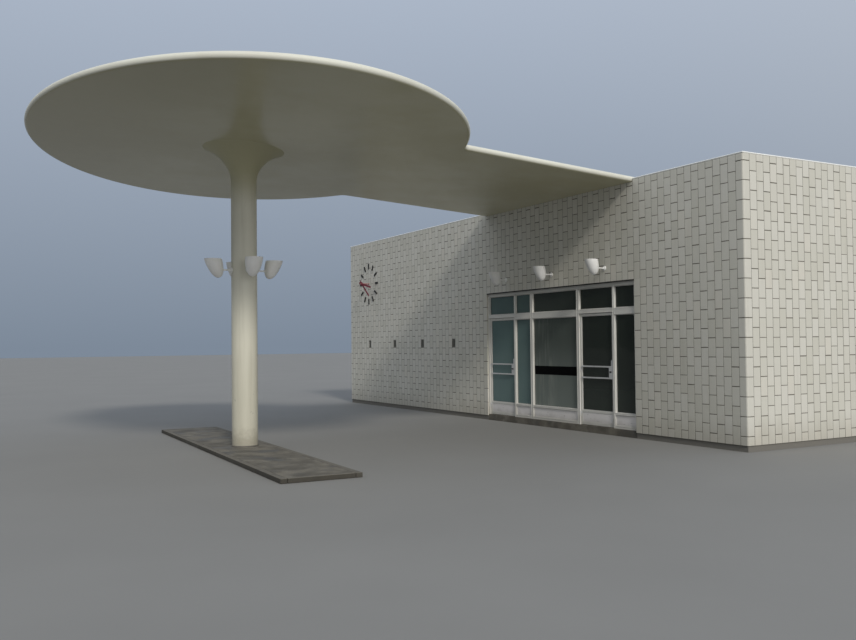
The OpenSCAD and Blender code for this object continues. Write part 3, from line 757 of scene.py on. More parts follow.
def lamp_set(name, rim_r, height, spots, root, nodes):
    shade = shade_copy(rim_r, height)
    lamps, bulbs = bmesh.new(), bmesh.new()
    arm_end = root + lamp_reach - rim_r - shade_bulge
    for spot in spots:
        hung = shade.copy()
        hung.transform(spot)
        lamps.from_mesh(hung)
        bpy.data.meshes.remove(hung)
        hoop(lamps, rim_r - 0.003, bead_r, spot @ Matrix.Translation((0, 0, height - bead_r)))
        along = spot @ Matrix.Translation((-lamp_reach - root, 0, arm_up)) \
            @ Matrix.Rotation(math.pi / 2, 4, "Y")
        turned(lamps, lamp_arm(root, arm_end), along, 28)
        for turn_by in screw_turns:
            turned(lamps, [(0, root + 0.009), (0.0045, root + 0.009), (0.0045, root + 0.0125),
                           (0.003, root + 0.014), (0, root + 0.014)],
                   along @ Matrix.Rotation(turn_by, 4, "Z")
                   @ Matrix.Translation((screw_ring, 0, 0)), 10)
        foot = spot @ Matrix.Translation((shade_bottom(rim_r) + 0.010, 0, 0))
        turned(lamps, holder, foot, 20)
        turned(bulbs, bulb, foot, 20)
    piece(name, lamps, lamp_enamel, stands_for=nodes, angle=50)
    piece(name + "_bulbs", bulbs, lamp_glow, angle=50)


column_rim, wall_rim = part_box("column_lamp_shades")[1].z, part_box("wall_lamp_shades")[1].z
column_shade_h, wall_shade_h = 0.305, 0.285
round_column = [Matrix.Rotation(math.pi / 2 * i, 4, "Z")
                @ Matrix.Translation((shaft_r + lamp_reach, 0, column_rim - column_shade_h))
                for i in range(4)]
along_wall = [Matrix.Translation((i * lamp_pitch, wall_face - lamp_reach, wall_rim - wall_shade_h))
              @ Matrix.Rotation(-math.pi / 2, 4, "Z") for i in (-1, 0, 1)]
lamp_set("column_lamps", column_rim_r, column_shade_h, round_column, 0.008,
         ["column_lamp_shades", "column_lamp_arms"])
lamp_set("wall_lamps", wall_rim_r, wall_shade_h, along_wall, 0.0,
         ["wall_lamp_shades", "wall_lamp_arms"])

# %% [markdown]
# Behind the tiles the walls are masonry. It shows in three places: as the dark base under the
# tiles, as plaster inside the room, and above the roof. One finish reads which it is from the
# height: rough cement below the tiles, off-white plaster with trowel marks above.

# %% Wall finish
wall_plaster = Finish("wall_plaster")
trowel = wall_plaster.noise(1.0, 5.0, wall_plaster.scaled(2.0, 2.0, 5.0))
fine = wall_plaster.noise(130.0, 3.0)
plaster = wall_plaster.mix(trowel, colour(186, 184, 176), colour(206, 204, 197))
base = wall_plaster.mix(fine, colour(92, 90, 85), colour(128, 125, 118))
below = wall_plaster.rise(wall_plaster.axis("Z") + trowel * 0.004, 0.104, 0.100)
wall_plaster.dress(wall_plaster.mix(below, plaster, base), 0.8 + fine * 0.12,
                   fine * 0.35 + trowel * 0.8, 0.0015)


def refinish(finish, *nodes):
    """Give CAD nodes that keep their own shape a better material."""
    for node in nodes:
        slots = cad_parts[node].data.materials
        slots.clear()
        slots.append(finish.material)
    print(finish.material.name, "covers", *nodes)


refinish(wall_plaster, "front_wall_left", "front_wall_right", "front_wall_over_glazing",
         "right_wall", "left_wall", "back_wall", "roof_slab")

# %% [markdown]
# The floor inside is terrazzo: marble chips in cement, ground flat. A Voronoi texture makes
# cells of random colour, and only some of them are turned into chips.

# %% Floor of the room
terrazzo = Finish("terrazzo")
cells = terrazzo.node("TexVoronoi", {}, {"Vector": terrazzo.place, "Scale": 130.0}, "Color")
pick = terrazzo.node("SeparateColor", {}, {0: cells}, 0)
wear = terrazzo.noise(1.4, 4.0)
ground = terrazzo.mix(wear, colour(128, 126, 120), colour(150, 147, 140))
ground = terrazzo.mix(terrazzo.rise(pick, 0.62, 0.66), ground, colour(186, 182, 170))
ground = terrazzo.mix(terrazzo.rise(pick, 0.30, 0.26), ground, colour(78, 74, 70))
terrazzo.dress(ground, 0.35 + wear * 0.25, wear, 0.0005)
refinish(terrazzo, "floor_slab")

# %% [markdown]
# The tiles are the face of this building. Each is glazed clay, 300 mm high and 152 mm wide
# with its joint, warm off-white, and no two have quite the same tone. A face attribute holds
# each tile's tone, so neighbours differ crisply. Rain streaks and a slight haze of dirt near
# the ground run across them, and the glaze itself ripples gently.

# %% Tile glaze
tile_glaze = Finish("tile_glaze")
tone = tile_glaze.tone()
ripple = tile_glaze.noise(11.0, 3.0)
craze = tile_glaze.noise(45.0, 4.0)
streak = tile_glaze.noise(1.0, 5.0, tile_glaze.scaled(7.0, 7.0, 0.7))
glaze = tile_glaze.mix(tone, colour(197, 195, 184), colour(207, 205, 196))
glaze = tile_glaze.mix(tile_glaze.rise(tone, 0.90, 0.97) * 0.20, glaze, colour(200, 192, 174))
glaze = tile_glaze.mix(tile_glaze.rise(streak, 0.52, 0.80) * 0.22, glaze, colour(168, 164, 150))
near_ground = tile_glaze.rise(tile_glaze.axis("Z") + (streak - 0.5) * 0.5, 0.55, 0.10)
glaze = tile_glaze.mix(near_ground * 0.30, glaze, colour(140, 132, 116))
glaze = tile_glaze.mix(tile_glaze.rise(craze, 0.62, 0.72) * 0.12, glaze, colour(136, 130, 118))
tile_glaze.dress(glaze, 0.34 + craze * 0.18, ripple + craze * 0.15, 0.0022)

# %% [markdown]
# The mortar lies a few millimetres behind the glaze and has gone grey-brown with soot.

# %% Mortar
mortar = Finish("mortar")
soot = mortar.noise(6.0, 5.0)
gritty = mortar.noise(240.0, 2.0)
lime = mortar.mix(soot, colour(66, 63, 56), colour(98, 94, 84))
mortar.dress(mortar.mix(gritty * 0.3, lime, colour(122, 116, 104)), 0.92, gritty, 0.001)

# %% [markdown]
# A tile is a cube with its four front edges bevelled. It is made once for each size that is
# needed and kept, and the laid tiles are copies of it. A tile's own frame has X along the wall,
# Z up, and its face at Y = 0 with its body behind.

# %% One tile
tile_w, course_h, tile_t, joint_half, bed_back = 0.1525, 0.300, 0.020, 0.0029, 0.0018
tile_store = {}


def tile_mesh(width, height, depth):
    size = (round(width, 4), round(depth, 4), round(height, 3))
    if size not in tile_store:
        bm = bmesh.new()
        made = bmesh.ops.create_cube(bm, size=1, matrix=Matrix.Diagonal((*size, 1)))
        bmesh.ops.translate(bm, verts=made["verts"], vec=(0, size[1] / 2, 0))
        front = [e for e in bm.edges if all(v.co.y < 1e-6 for v in e.verts)]
        bevel(bm, front, 0.0022, 2)
        tile_store[size] = kept_mesh("tile", bm)
    return tile_store[size]


print("A tile has", len(tile_mesh(0.148, 0.29, tile_t).polygons), "faces")

# %% [markdown]
# The columns of tiles are laid in a half bond turned upright: the joints of every second column
# sit half a tile higher. `tile_spans` cuts one column into tiles between two heights and leaves
# out the hole for a vent, where there is one.

# %% Cutting a column into tiles
wall_low_z, wall_top_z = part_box("side_tiles")[0].z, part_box("side_tiles")[1].z
even_joint, odd_joint, least_cut, least_sliver = 0.388, 0.238, 0.02, 0.012


def tile_spans(column, low, high, hole=None):
    first = odd_joint if column % 2 else even_joint
    cuts = [first + course_h * n for n in range(-1, 16)]
    cuts = [low] + [z for z in cuts if low + least_cut < z < high - least_cut] + [high]
    spans = list(zip(cuts, cuts[1:]))
    if hole:
        spans = [span for bottom, top in spans
                 for span in ((bottom, min(top, hole[0])), (max(bottom, hole[1]), top))
                 if span[1] - span[0] > least_sliver]
    return spans


print("A whole column has", len(tile_spans(0, wall_low_z, wall_top_z)), "tiles")

# %% [markdown]
# The joints vary in width as the real ones do, and no tile lies perfectly flat, so each tile gets
# a small random tip. Seen from outside, a wall's own frame has X to the right, Y into the wall
# and Z up, so the same code lays all four walls. `tone_faces` writes one tone per tile.

# %% Laying a wall of tiles
flat_gaps, upright_gaps = (0.0036, 0.0044, 0.0052, 0.0062, 0.0076), (0.0026, 0.0034, 0.0044)


def tone_faces(bm, tones):
    """tones: a tone and the number of faces that have it, in the order of the faces."""
    tone_layer = bm.faces.layers.float.new("tone")
    faces = iter(bm.faces)
    for tone, count in tones:
        for _ in range(count):
            next(faces)[tone_layer] = tone


def lay_tiles(name, columns, placing, node):
    """columns: index, x of the left side, low, high, hole, thickness, and the gaps left and
    right, or None where they are random."""
    bm = bmesh.new()
    tones = []
    for index, x, low, high, hole, depth, *trims in columns:
        for bottom, top in tile_spans(index, low, high, hole):
            gap = random.choice(flat_gaps)
            sides = [random.choice(upright_gaps) if trim is None else trim for trim in trims]
            left, right = x + sides[0], x + tile_w - sides[1]
            bottom_gap = gap if bottom > low + 0.001 else 0.0
            top_gap = gap if top < high - 0.001 else 0.0
            tall = top - bottom - bottom_gap - top_gap
            stock = round(tall, 2 if tall > 0.2 else 3)
            mesh = tile_mesh(right - left, stock, depth).copy()
            tip = Matrix.Rotation(random.gauss(0, 0.0014), 4, "X") \
                @ Matrix.Rotation(random.gauss(0, 0.0016), 4, "Z")
            centre = Matrix.Translation(((left + right) / 2, abs(random.gauss(0, 0.0003)),
                                         bottom + bottom_gap + tall / 2))
            mesh.transform(placing @ centre @ tip @ Matrix.Diagonal((1, 1, tall / stock, 1)))
            bm.from_mesh(mesh)
            tones.append((random.random(), len(mesh.polygons)))
            bpy.data.meshes.remove(mesh)
    tone_faces(bm, tones)
    piece(name, bm, tile_glaze, stands_for=[node], angle=60)
    print(len(tones), "tiles on", name)


print("With its joint a tile is", tile_w, "m wide and", course_h, "m high")

# %% [markdown]
# The front wall has 47 columns left of the glazed opening, 31 over it and 15 right of it. The
# tiles beside the opening are deeper, because they return into it as far as the window frame.
# Four columns are cut for the vents, and the tiles over the opening stop under the slab.

# %% Front tiles
random.seed(31)
front_low, front_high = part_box("front_tiles")
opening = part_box("lintel")
frame_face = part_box("frame_uprights")[0].y
vent_low, vent_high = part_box("vent_grilles")
left_count = round((opening[0].x - front_low.x) / tile_w)
over_count = round((opening[1].x - opening[0].x) / tile_w)
right_count = round((front_high.x - opening[1].x) / tile_w)
last = left_count + over_count + right_count - 1
vent_columns = [last - n for n in (55, 65, 75, 85)]
slab_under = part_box("front_wall_over_glazing")[1].z + 0.0004
columns = []
for i in range(last + 1):
    over = left_count <= i < left_count + over_count
    low, high = (opening[1].z, slab_under) if over else (wall_low_z, wall_top_z)
    hole = (vent_low.z, vent_high.z) if i in vent_columns else None
    x = front_low.x + i * tile_w
    if i in (left_count - 1, left_count + over_count):
        trims = (None, -0.0004) if i < left_count else (-0.0004, None)
        columns.append((i, x, low, opening[1].z, hole, frame_face - wall_face, *trims))
        columns.append((i, x, opening[1].z + 0.0001, high, hole, tile_t, None, None))
    else:
        columns.append((i, x, low, high, hole, tile_t, None, None))
front_placing = Matrix.Translation((0, wall_face, 0))
lay_tiles("front_wall_tiles", columns, front_placing, "front_tiles")

# %% [markdown]
# Between the tiles the mortar has to show, a little behind the glaze. The CAD sheet of tiles
# has the right outline already, openings and all, so a copy of it is moved back into the wall
# and lies under the separate tiles as their bed.

# %% Bed of mortar
def mortar_bed(name, node, inwards):
    """inwards: how far each point moves, as a function of the point."""
    bm = merged(node)
    for v in bm.verts:
        v.co += inwards(v.co)
    bmesh.ops.recalc_face_normals(bm, faces=bm.faces)
    piece(name, bm, mortar)


mortar_bed("front_mortar", "front_tiles", lambda co: Vector((0, bed_back, 0)))

# %% [markdown]
# The two sides and the back are plain fields of the same bond. Their own frames are the front's
# frame turned by a quarter, two quarters and three quarters of a turn.

# %% Side and back tiles
side_low, side_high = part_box("side_tiles")
back_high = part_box("back_tiles")[1]
side_count = round((side_high.y - side_low.y) / tile_w)


def plain_field(name, count, start, turns, node):
    """A wall without openings; its frame is the front's, turned by quarter turns."""
    columns = [(i, i * tile_w, wall_low_z, wall_top_z, None, tile_t, None, None)
               for i in range(count)]
    placing = Matrix.Translation(start) @ Matrix.Rotation(math.pi / 2 * turns, 4, "Z")
    lay_tiles(name, columns, placing, node)


plain_field("right_wall_tiles", side_count, (side_high.x, side_low.y, 0), 1, "side_tiles")
plain_field("left_wall_tiles", side_count, (side_low.x, side_high.y, 0), -1, "side_tiles")
plain_field("back_wall_tiles", last + 1, (back_high.x, back_high.y, 0), 2, "back_tiles")
middle = Vector(((side_low.x + side_high.x) / 2, (wall_face + back_high.y) / 2))


def towards_middle(co):
    """From a corner of the building, a little way inwards along X and Y."""
    return Vector((math.copysign(bed_back, middle.x - co.x),
                   math.copysign(bed_back, middle.y - co.y), 0))


mortar_bed("side_mortar", "side_tiles", lambda co: Vector((towards_middle(co).x, 0, 0)))
mortar_bed("back_mortar", "back_tiles", lambda co: Vector((0, -bed_back, 0)))

# %% [markdown]
# A corner tile wraps round the building's edge with one rounded piece. Its outline is drawn with
# one vertex: extruded along one face, spun a quarter turn round the edge, extruded along the
# other face. The outline is then raised to the tile's height and given its thickness.

# %% One corner tile
corner_w, corner_r = 0.144, 0.030


def on_face(co):
    """Whether a point of the corner tile lies on its glazed face."""
    from_centre = (co.xy - Vector((corner_r, corner_r))).length
    in_arc = from_centre > corner_r - 1e-4 and max(co.x, co.y) < corner_r
    return min(co.x, co.y) < 1e-4 or in_arc


def corner_mesh(height):
    bm = bmesh.new()
    start = bm.verts.new((corner_w - joint_half, 0, 0))
    step = bmesh.ops.extrude_vert_indiv(bm, verts=[start])["verts"]
    bmesh.ops.translate(bm, verts=step, vec=(corner_r - corner_w + joint_half, 0, 0))
    arc = bmesh.ops.spin(bm, geom=step, cent=(corner_r, corner_r, 0), axis=(0, 0, 1),
                         angle=-math.pi / 2, steps=7)
    end = [v for v in arc["geom_last"] if isinstance(v, bmesh.types.BMVert)]
    step = bmesh.ops.extrude_vert_indiv(bm, verts=end)["verts"]
    bmesh.ops.translate(bm, verts=step, vec=(0, corner_w - joint_half - corner_r, 0))
    raised = bmesh.ops.extrude_edge_only(bm, edges=bm.edges[:])["geom"]
    bmesh.ops.translate(bm, verts=[v for v in raised if isinstance(v, bmesh.types.BMVert)],
                        vec=(0, 0, height))
    bmesh.ops.recalc_face_normals(bm, faces=bm.faces)
    flat = max(bm.faces, key=lambda f: -f.calc_center_median().y)
    if flat.normal.y > 0:
        bmesh.ops.reverse_faces(bm, faces=bm.faces)
    bmesh.ops.solidify(bm, geom=bm.faces[:], thickness=tile_t)
    edges = [e for e in bm.edges if e.is_manifold and e.calc_face_angle() > 1.0
             and any(on_face(v.co) for v in e.verts)
             and all(min(v.co.x, v.co.y) < tile_t - 1e-3 for v in e.verts)]
    bevel(bm, edges, 0.0028, 2)
    return kept_mesh("corner_tile", bm)


corner_store = {0.29: corner_mesh(0.29)}
print("A corner tile has", len(corner_store[0.29].polygons), "faces")

# %% [markdown]
# Four stacks of them close the corners, each turned by a quarter more than the one before. Their
# joints follow the odd columns, so the bond runs on round the building.

# %% Corner stacks
bm = bmesh.new()
tones = []
corners = ((side_low.x, wall_face), (side_high.x, wall_face), (side_high.x, back_high.y),
           (side_low.x, back_high.y))
for turns, (x, y) in enumerate(corners):
    placing = Matrix.Translation((x, y, 0)) @ Matrix.Rotation(math.pi / 2 * turns, 4, "Z")
    for bottom, top in tile_spans(1, wall_low_z, wall_top_z):
        gap = random.choice((0.0046, 0.0054, 0.0060, 0.0066))
        low = bottom + (gap if bottom > wall_low_z + 0.001 else 0)
        high = top - (gap if top < wall_top_z - 0.001 else 0)
        tall = round(high - low, 4)
        if tall not in corner_store:
            corner_store[tall] = corner_mesh(tall)
        mesh = corner_store[tall].copy()
        mesh.transform(placing @ Matrix.Translation((0, 0, low)))
        bm.from_mesh(mesh)
        tones.append((random.random() * 0.5 + 0.45, len(mesh.polygons)))
        bpy.data.meshes.remove(mesh)
tone_faces(bm, tones)
piece("corner_tile_stacks", bm, tile_glaze, stands_for=["corner_tiles"], angle=50)
mortar_bed("corner_mortar", "corner_tiles", towards_middle)
print(len(tones), "corner tiles")

# %% [markdown]
# The walls are capped with folded sheet metal in lengths, a thin bright line from below. The CAD
# lengths keep their shape and get rounded folds, standing seams and a weathered pale paint.

# %% Coping
coping_paint = Finish("coping_paint")
chalky = coping_paint.noise(9.0, 4.0)
drip = coping_paint.noise(1.0, 4.0, coping_paint.scaled(16.0, 16.0, 2.0))
pale = coping_paint.mix(chalky, colour(236, 237, 234), colour(244, 245, 242))
pale = coping_paint.mix(coping_paint.rise(drip, 0.55, 0.8) * 0.25, pale, colour(190, 190, 184))
coping_paint.dress(pale, 0.42 + chalky * 0.2, drip * 0.6 + chalky * 0.3, 0.001)

sheet_length, seam_half = 2.4, 0.004
bm = softened("coping", 0.010, 5)
for low, high in solids("coping"):
    along = 0 if high.x - low.x > high.y - low.y else 1
    run = high[along] - low[along]
    count = max(1, round(run / sheet_length))
    for k in range(1, count):
        seam_low = [low.x + seam_half, low.y + seam_half, high.z - 0.002]
        seam_high = [high.x - seam_half, high.y - seam_half, high.z - 0.0002]
        seam_low[along] = low[along] + run * k / count - seam_half
        seam_high[along] = low[along] + run * k / count + seam_half
        block(bm, seam_low, seam_high, 0.0008, 1)
piece("coping_lengths", bm, coping_paint, stands_for=["coping"])

# %% [markdown]
# Three finishes belong to the small sheet metal of the wall: a nearly black steel for the cover
# plate over the glazing, whose near-black also paints the shadow gap between the tiles and the
# frame's head, dull zinc for the sleeves of the vents, and a dirty grey paint for their slats.
# The steel is a little metallic, and rust comes through it in a few spots.

# %% Sheet metal finishes
dark_steel = Finish("dark_steel")
rust = dark_steel.noise(26.0, 5.0)
skin = dark_steel.noise(120.0, 2.0)
# Near-black steel that also paints the shadow gap over the frame's head.
steel = dark_steel.mix(rust, colour(30, 30, 30), colour(46, 45, 43))
steel = dark_steel.mix(dark_steel.rise(rust, 0.60, 0.70) * 0.5, steel, colour(76, 56, 42))
dark_steel.dress(steel, 0.55 + rust * 0.25, rust * 0.4 + skin * 0.2, 0.0006, Metallic=0.2)

sleeve_zinc = Finish("sleeve_zinc")
film_of_dirt = sleeve_zinc.noise(22.0, 4.0)
sleeve_zinc.dress(sleeve_zinc.mix(film_of_dirt, colour(142, 142, 136), colour(172, 171, 164)),
                  0.55 + film_of_dirt * 0.2, film_of_dirt, 0.0005, Metallic=0.1)

louvre_paint = Finish("louvre_paint")
smut = louvre_paint.noise(30.0, 4.0)
louvre_paint.dress(louvre_paint.mix(smut, colour(136, 137, 132), colour(170, 170, 163)),
                   0.55 + smut * 0.25, smut, 0.0006)

# %% [markdown]
# A sleeve is four thin strips round the opening that the tiles leave. The slats are thin plates,
# each tipped so that rain runs out, and they stand back from the face, so the head of the sleeve
# shades them. A back plate closes the sleeve, or daylight would show through.

# %% The vents
sheet_t, slat_count, slat_pitch, slat_set_back = 0.005, 7, 0.028, 0.28
slat_size, slat_tilt = (0.034, 0.0025), math.radians(-38)
face_y, depth = vent_low.y, vent_high.y - vent_low.y
half_w, half_h = tile_w / 2, (vent_high.z - vent_low.z) / 2
mid_z = (vent_low.z + vent_high.z) / 2
inner_w, inner_h = half_w - sheet_t, half_h - sheet_t
sleeves, slats = bmesh.new(), bmesh.new()
for column in vent_columns:
    x = front_low.x + (column + 0.5) * tile_w
    for left, right, bottom, top in ((-half_w, -inner_w, -half_h, half_h),
                                     (inner_w, half_w, -half_h, half_h),
                                     (-inner_w, inner_w, -half_h, -inner_h),
                                     (-inner_w, inner_w, inner_h, half_h)):
        block(sleeves, (x + left, face_y, mid_z + bottom),
              (x + right, face_y + depth, mid_z + top), 0.0012, 2)
    for k in range(slat_count):
        centre = (x, face_y + depth * slat_set_back, mid_z - half_h + 0.016 + k * slat_pitch)
        blade = bmesh.ops.create_cube(slats, size=1, matrix=Matrix.Translation(centre)
                                      @ Matrix.Rotation(slat_tilt, 4, "X")
                                      @ Matrix.Diagonal((2 * inner_w, *slat_size, 1)))
        bevel(slats, edges_at(blade["verts"]), 0.0008, 1)
    block(slats, (x - inner_w, face_y + depth - 0.003, mid_z - inner_h),
          (x + inner_w, face_y + depth - 0.001, mid_z + inner_h), 0.0005, 1)
piece("vent_sleeves", sleeves, sleeve_zinc, stands_for=["vent_grilles"])
piece("vent_slats", slats, louvre_paint)

# %% [markdown]
# The threshold is cast from the same concrete as the island. The cover plate over the glazing
# keeps its CAD shape, with its folded front leg, and gets rounded folds. Its near-black colour
# also paints the shadow gap above the frame's head.

# %% Threshold and cover plate
piece("door_threshold", softened("threshold", 0.006, 3), yard_concrete,
      stands_for=["threshold"])
piece("lintel_plate", softened("lintel", 0.002, 2), dark_steel,
      stands_for=["lintel"])

# %% [markdown]
# The window frames are painted steel sections, pale grey-white, a little yellowed and dirty in
# the corners. Across the head bar, from 2.66 m up, the paint is darker as painted shade under
# the tiles above it. The paint is brushed, so its bump is long vertical strokes of noise.

# %% Frame paint
frame_paint = Finish("frame_paint")
brush = frame_paint.noise(1.0, 3.0, frame_paint.scaled(220.0, 220.0, 12.0))
dirt = frame_paint.noise(5.0, 5.0)
chip = frame_paint.noise(38.0, 4.0)
paint = frame_paint.mix(dirt, colour(206, 205, 200), colour(220, 219, 214))
low_down = frame_paint.rise(frame_paint.axis("Z") + (dirt - 0.5) * 0.25, 0.42, 0.14)
paint = frame_paint.mix(low_down * 0.30, paint, colour(146, 140, 128))
# Painted shade: the head bar is darker under the tiles above it.
painted_head_shade = frame_paint.rise(frame_paint.axis("Z"), 2.66, 2.74)
paint = frame_paint.mix(painted_head_shade * 0.35, paint, colour(150, 150, 142))
chipped = frame_paint.rise(chip, 0.68, 0.70)
paint = frame_paint.mix(chipped * 0.6, paint, colour(128, 122, 112))
frame_paint.dress(paint, 0.38 + dirt * 0.15 + chipped * 0.2, brush * 0.25 - chipped * 0.5, 0.0005)

# %% [markdown]
# Glass shows little of itself: a dark room behind it, and the sky on it. Both are painted into
# its colour: a dark base stands in for the unlit room, and paler painted reflections of the sky
# and the ground cover each bay differently, growing paler towards the sill, with bright vertical
# streaks on the middle bay. A low roughness and partial alpha add the world's own reflections. A
# slow noise in the bump gives drawn glass its slight waviness, and a film of dust makes the
# bottom duller.

# %% Glass and its rubber
glass = Finish("window_glass")
wave = glass.noise(1.6, 2.0)
film = glass.noise(3.0, 5.0)
across, up = glass.axis("X"), glass.axis("Z")
# The dark base paints the unlit room behind; the paler colours below are painted reflections.
room = glass.mix(film, colour(40, 46, 41), colour(50, 56, 51))
pale_reflection = glass.mix(film, colour(118, 127, 122), colour(138, 147, 142))
painted_sky_reflection = glass.mix(film, colour(104, 128, 128), colour(118, 142, 141))
reflection_streaks = glass.noise(1.0, 3.0, glass.scaled(8.0, 1.0, 1.0))
below_transom = glass.rise(up + (film - 0.5) * 0.10, 2.28, 2.20)
painted_ground_reflection = glass.rise(up + (film - 0.5) * 0.5, 1.9, 0.4)
middle_bay = glass.mix(0.08 + below_transom * (0.27 + painted_ground_reflection * 0.54), room, pale_reflection)
middle_bay = glass.mix(glass.rise(reflection_streaks, 0.45, 0.7) * glass.rise(across, 0.1, -0.2)
                       * below_transom * 0.30, middle_bay, colour(172, 177, 168))
right_bays = glass.mix(painted_ground_reflection * 0.02, room, pale_reflection)
left_bays = glass.mix(0.54 + below_transom * 0.20 + painted_ground_reflection * 0.2, room, painted_sky_reflection)
bays = glass.mix(glass.rise(across, 0.74, 0.76), middle_bay, right_bays)
bays = glass.mix(glass.rise(across, -0.74, -0.76), bays, left_bays)
dusty = glass.rise(up + (film - 0.5) * 0.4, 1.05, 0.55)
glass.dress(glass.mix(dusty * 0.10, bays, colour(118, 124, 120)), 0.05 + dusty * 0.10, wave, 0.003,
            Alpha=0.92, IOR=1.30)
glass.material.surface_render_method = "DITHERED"

rubber = Finish("rubber_gasket")
bloom = rubber.noise(40.0, 3.0)
rubber.dress(rubber.mix(bloom, colour(24, 24, 25), colour(44, 44, 44)), 0.72 + bloom * 0.1, bloom,
             0.0004)

# %% [markdown]
# Every bar of the frame is built from the box of its CAD solid: a rounded block whose front face
# is inset twice, once level and once pushed in, so that the section shows a fine raised lip and a
# sunk flat, as rolled steel sections do.

# %% Frame bars and uprights
def sunk_front(bm, faces, rim, slope, depth):
    """Inset the front face of a block twice: once level, once pushed in or out."""
    bm.normal_update()
    front = max((f for f in faces if f.normal.y < -0.99), key=lambda f: f.calc_area())
    bmesh.ops.inset_region(bm, faces=[front], thickness=rim, depth=0, use_even_offset=True)
    bmesh.ops.inset_region(bm, faces=[front], thickness=slope, depth=depth, use_even_offset=True)


for name, node in (("uprights", "frame_uprights"), ("cross_bars", "frame_bars")):
    bm = bmesh.new()
    for low, high in solids(node):
        lip = min(0.007, (high.x - low.x) * 0.22, (high.z - low.z) * 0.22)
        sunk_front(bm, block(bm, low, high, 0.0025, 2), lip, 0.0015, -0.003)
    piece(name, bm, frame_paint, stands_for=[node])

# %% [markdown]
# Each pane is held by a bead: a slim mitred border with a black rubber line between it and the
# glass. A border is a flat rectangle, inset by its width, whose middle is deleted and whose rim
# is extruded from the back to the front. The inset of a face that stands alone needs
# `use_boundary`, or it leaves no rim.

# %% Panes, beads and gaskets
def border(bm, low, high, width, front, back, rounding=0.0):
    """A rectangular ring around low-high in X and Z, from y = back to y = front."""
    upright = Matrix.Translation(((low.x + high.x) / 2, back, (low.z + high.z) / 2)) \
        @ Matrix.Rotation(math.pi / 2, 4, "X")
    made = bmesh.ops.create_grid(
        bm, x_segments=1, y_segments=1, size=0.5,
        matrix=upright @ Matrix.Diagonal((high.x - low.x, high.z - low.z, 1, 1)))
    face = made["verts"][0].link_faces[0]
    ring = bmesh.ops.inset_region(bm, faces=[face], thickness=width, depth=0, use_boundary=True,
                                  use_even_offset=True)["faces"]
    bmesh.ops.delete(bm, geom=[face], context="FACES")
    top = bmesh.ops.extrude_face_region(bm, geom=ring, use_keep_orig=True)["geom"]
    verts = [v for v in top if isinstance(v, bmesh.types.BMVert)]
    bmesh.ops.translate(bm, verts=verts, vec=(0, front - back, 0))
    faces = list({f for v in verts for f in v.link_faces} | set(ring))
    bmesh.ops.recalc_face_normals(bm, faces=faces)
    if rounding:
        edges = [e for e in edges_at(verts) if all(abs(v.co.y - front) < 1e-6 for v in e.verts)]
        bevel(bm, sharp_edges(edges, 60), rounding, 2)


panes, beads, gaskets = bmesh.new(), bmesh.new(), bmesh.new()
for low, high in solids("fixed_glass"):
    block(panes, low, high, 0.001, 1)
    border(beads, low, high, 0.013, low.y - 0.016, low.y - 0.001, 0.003)
    border(gaskets, low, high, 0.0165, low.y - 0.0045, low.y + 0.0002)
    border(beads, low, high, 0.013, high.y + 0.012, high.y)
piece("fixed_panes", panes, glass, stands_for=["fixed_glass"])
piece("fixed_beads", beads, frame_paint)
piece("fixed_gaskets", gaskets, rubber)

# %% [markdown]
# The kick panels are pressed steel trays in the same paint. Their fields come forward almost to
# the frame's face, as the photograph shows, and they take the scuffs of shoes and brooms.

# %% Kick panels
panel_paint = Finish("panel_paint")
scuffs = panel_paint.noise(1.0, 6.0, panel_paint.scaled(9.0, 9.0, 26.0))
dull = panel_paint.noise(4.0, 4.0)
panel = panel_paint.mix(dull, colour(222, 219, 218), colour(234, 231, 230))
panel = panel_paint.mix(panel_paint.rise(scuffs, 0.60, 0.72) * 0.45, panel, colour(120, 117, 111))
mud = panel_paint.rise(panel_paint.axis("Z") + (dull - 0.5) * 0.15, 0.30, 0.14)
panel = panel_paint.mix(mud * 0.4, panel, colour(126, 119, 106))
panel_paint.dress(panel, 0.45 + scuffs * 0.2, scuffs * 0.3, 0.0005)


def field_panel(bm, low, high, forward):
    faces = block(bm, (low.x, low.y - forward, low.z), high, 0.001, 1)
    sunk_front(bm, faces, 0.022, 0.006, 0.0015)


sheets, beads = bmesh.new(), bmesh.new()
for low, high in solids("kick_panels"):
    field_panel(sheets, low, high, 0.024)
    border(beads, low, high, 0.012, low.y - 0.031, low.y - 0.0243, 0.003)
piece("kick_sheets", sheets, panel_paint, stands_for=["kick_panels"])
piece("kick_beads", beads, frame_paint)

# %% [markdown]
# A matt black strip of film crosses the middle pane at eye level for a seated person. It is left
# bare here. It is a thin sheet on the glass, with the faint bubbles and dust of real film.

# %% Film on the middle pane
film_black = Finish("window_film")
lint = film_black.noise(14.0, 5.0)
film_black.dress(film_black.mix(lint, colour(5, 5, 5), colour(12, 12, 12)), 0.55 + lint * 0.2, lint,
                 0.0004, IOR=1.12)
film_low_z, film_high_z = 1.046, 1.220
low, high = max(solids("fixed_glass"), key=lambda b: (b[1].x - b[0].x) * (b[1].z - b[0].z))
bm = bmesh.new()
block(bm, (low.x + 0.02, low.y - 0.0014, film_low_z), (high.x - 0.02, low.y - 0.0002, film_high_z),
      0.0004, 1)
piece("middle_film", bm, film_black)

# %% [markdown]
# The door furniture is satin aluminium: push rails, lock case and latch plate. Years of hands
# polish the rails and leave the case duller, so roughness varies more than colour does.

# %% Hardware metal
hardware = Finish("satin_aluminium")
satin = hardware.noise(1.0, 3.0, hardware.scaled(30.0, 30.0, 300.0))
touch = hardware.noise(9.0, 4.0)
hardware.dress(hardware.mix(touch, colour(196, 197, 198), colour(220, 221, 221)),
               0.32 + touch * 0.2, satin, 0.0003, Metallic=0.35)

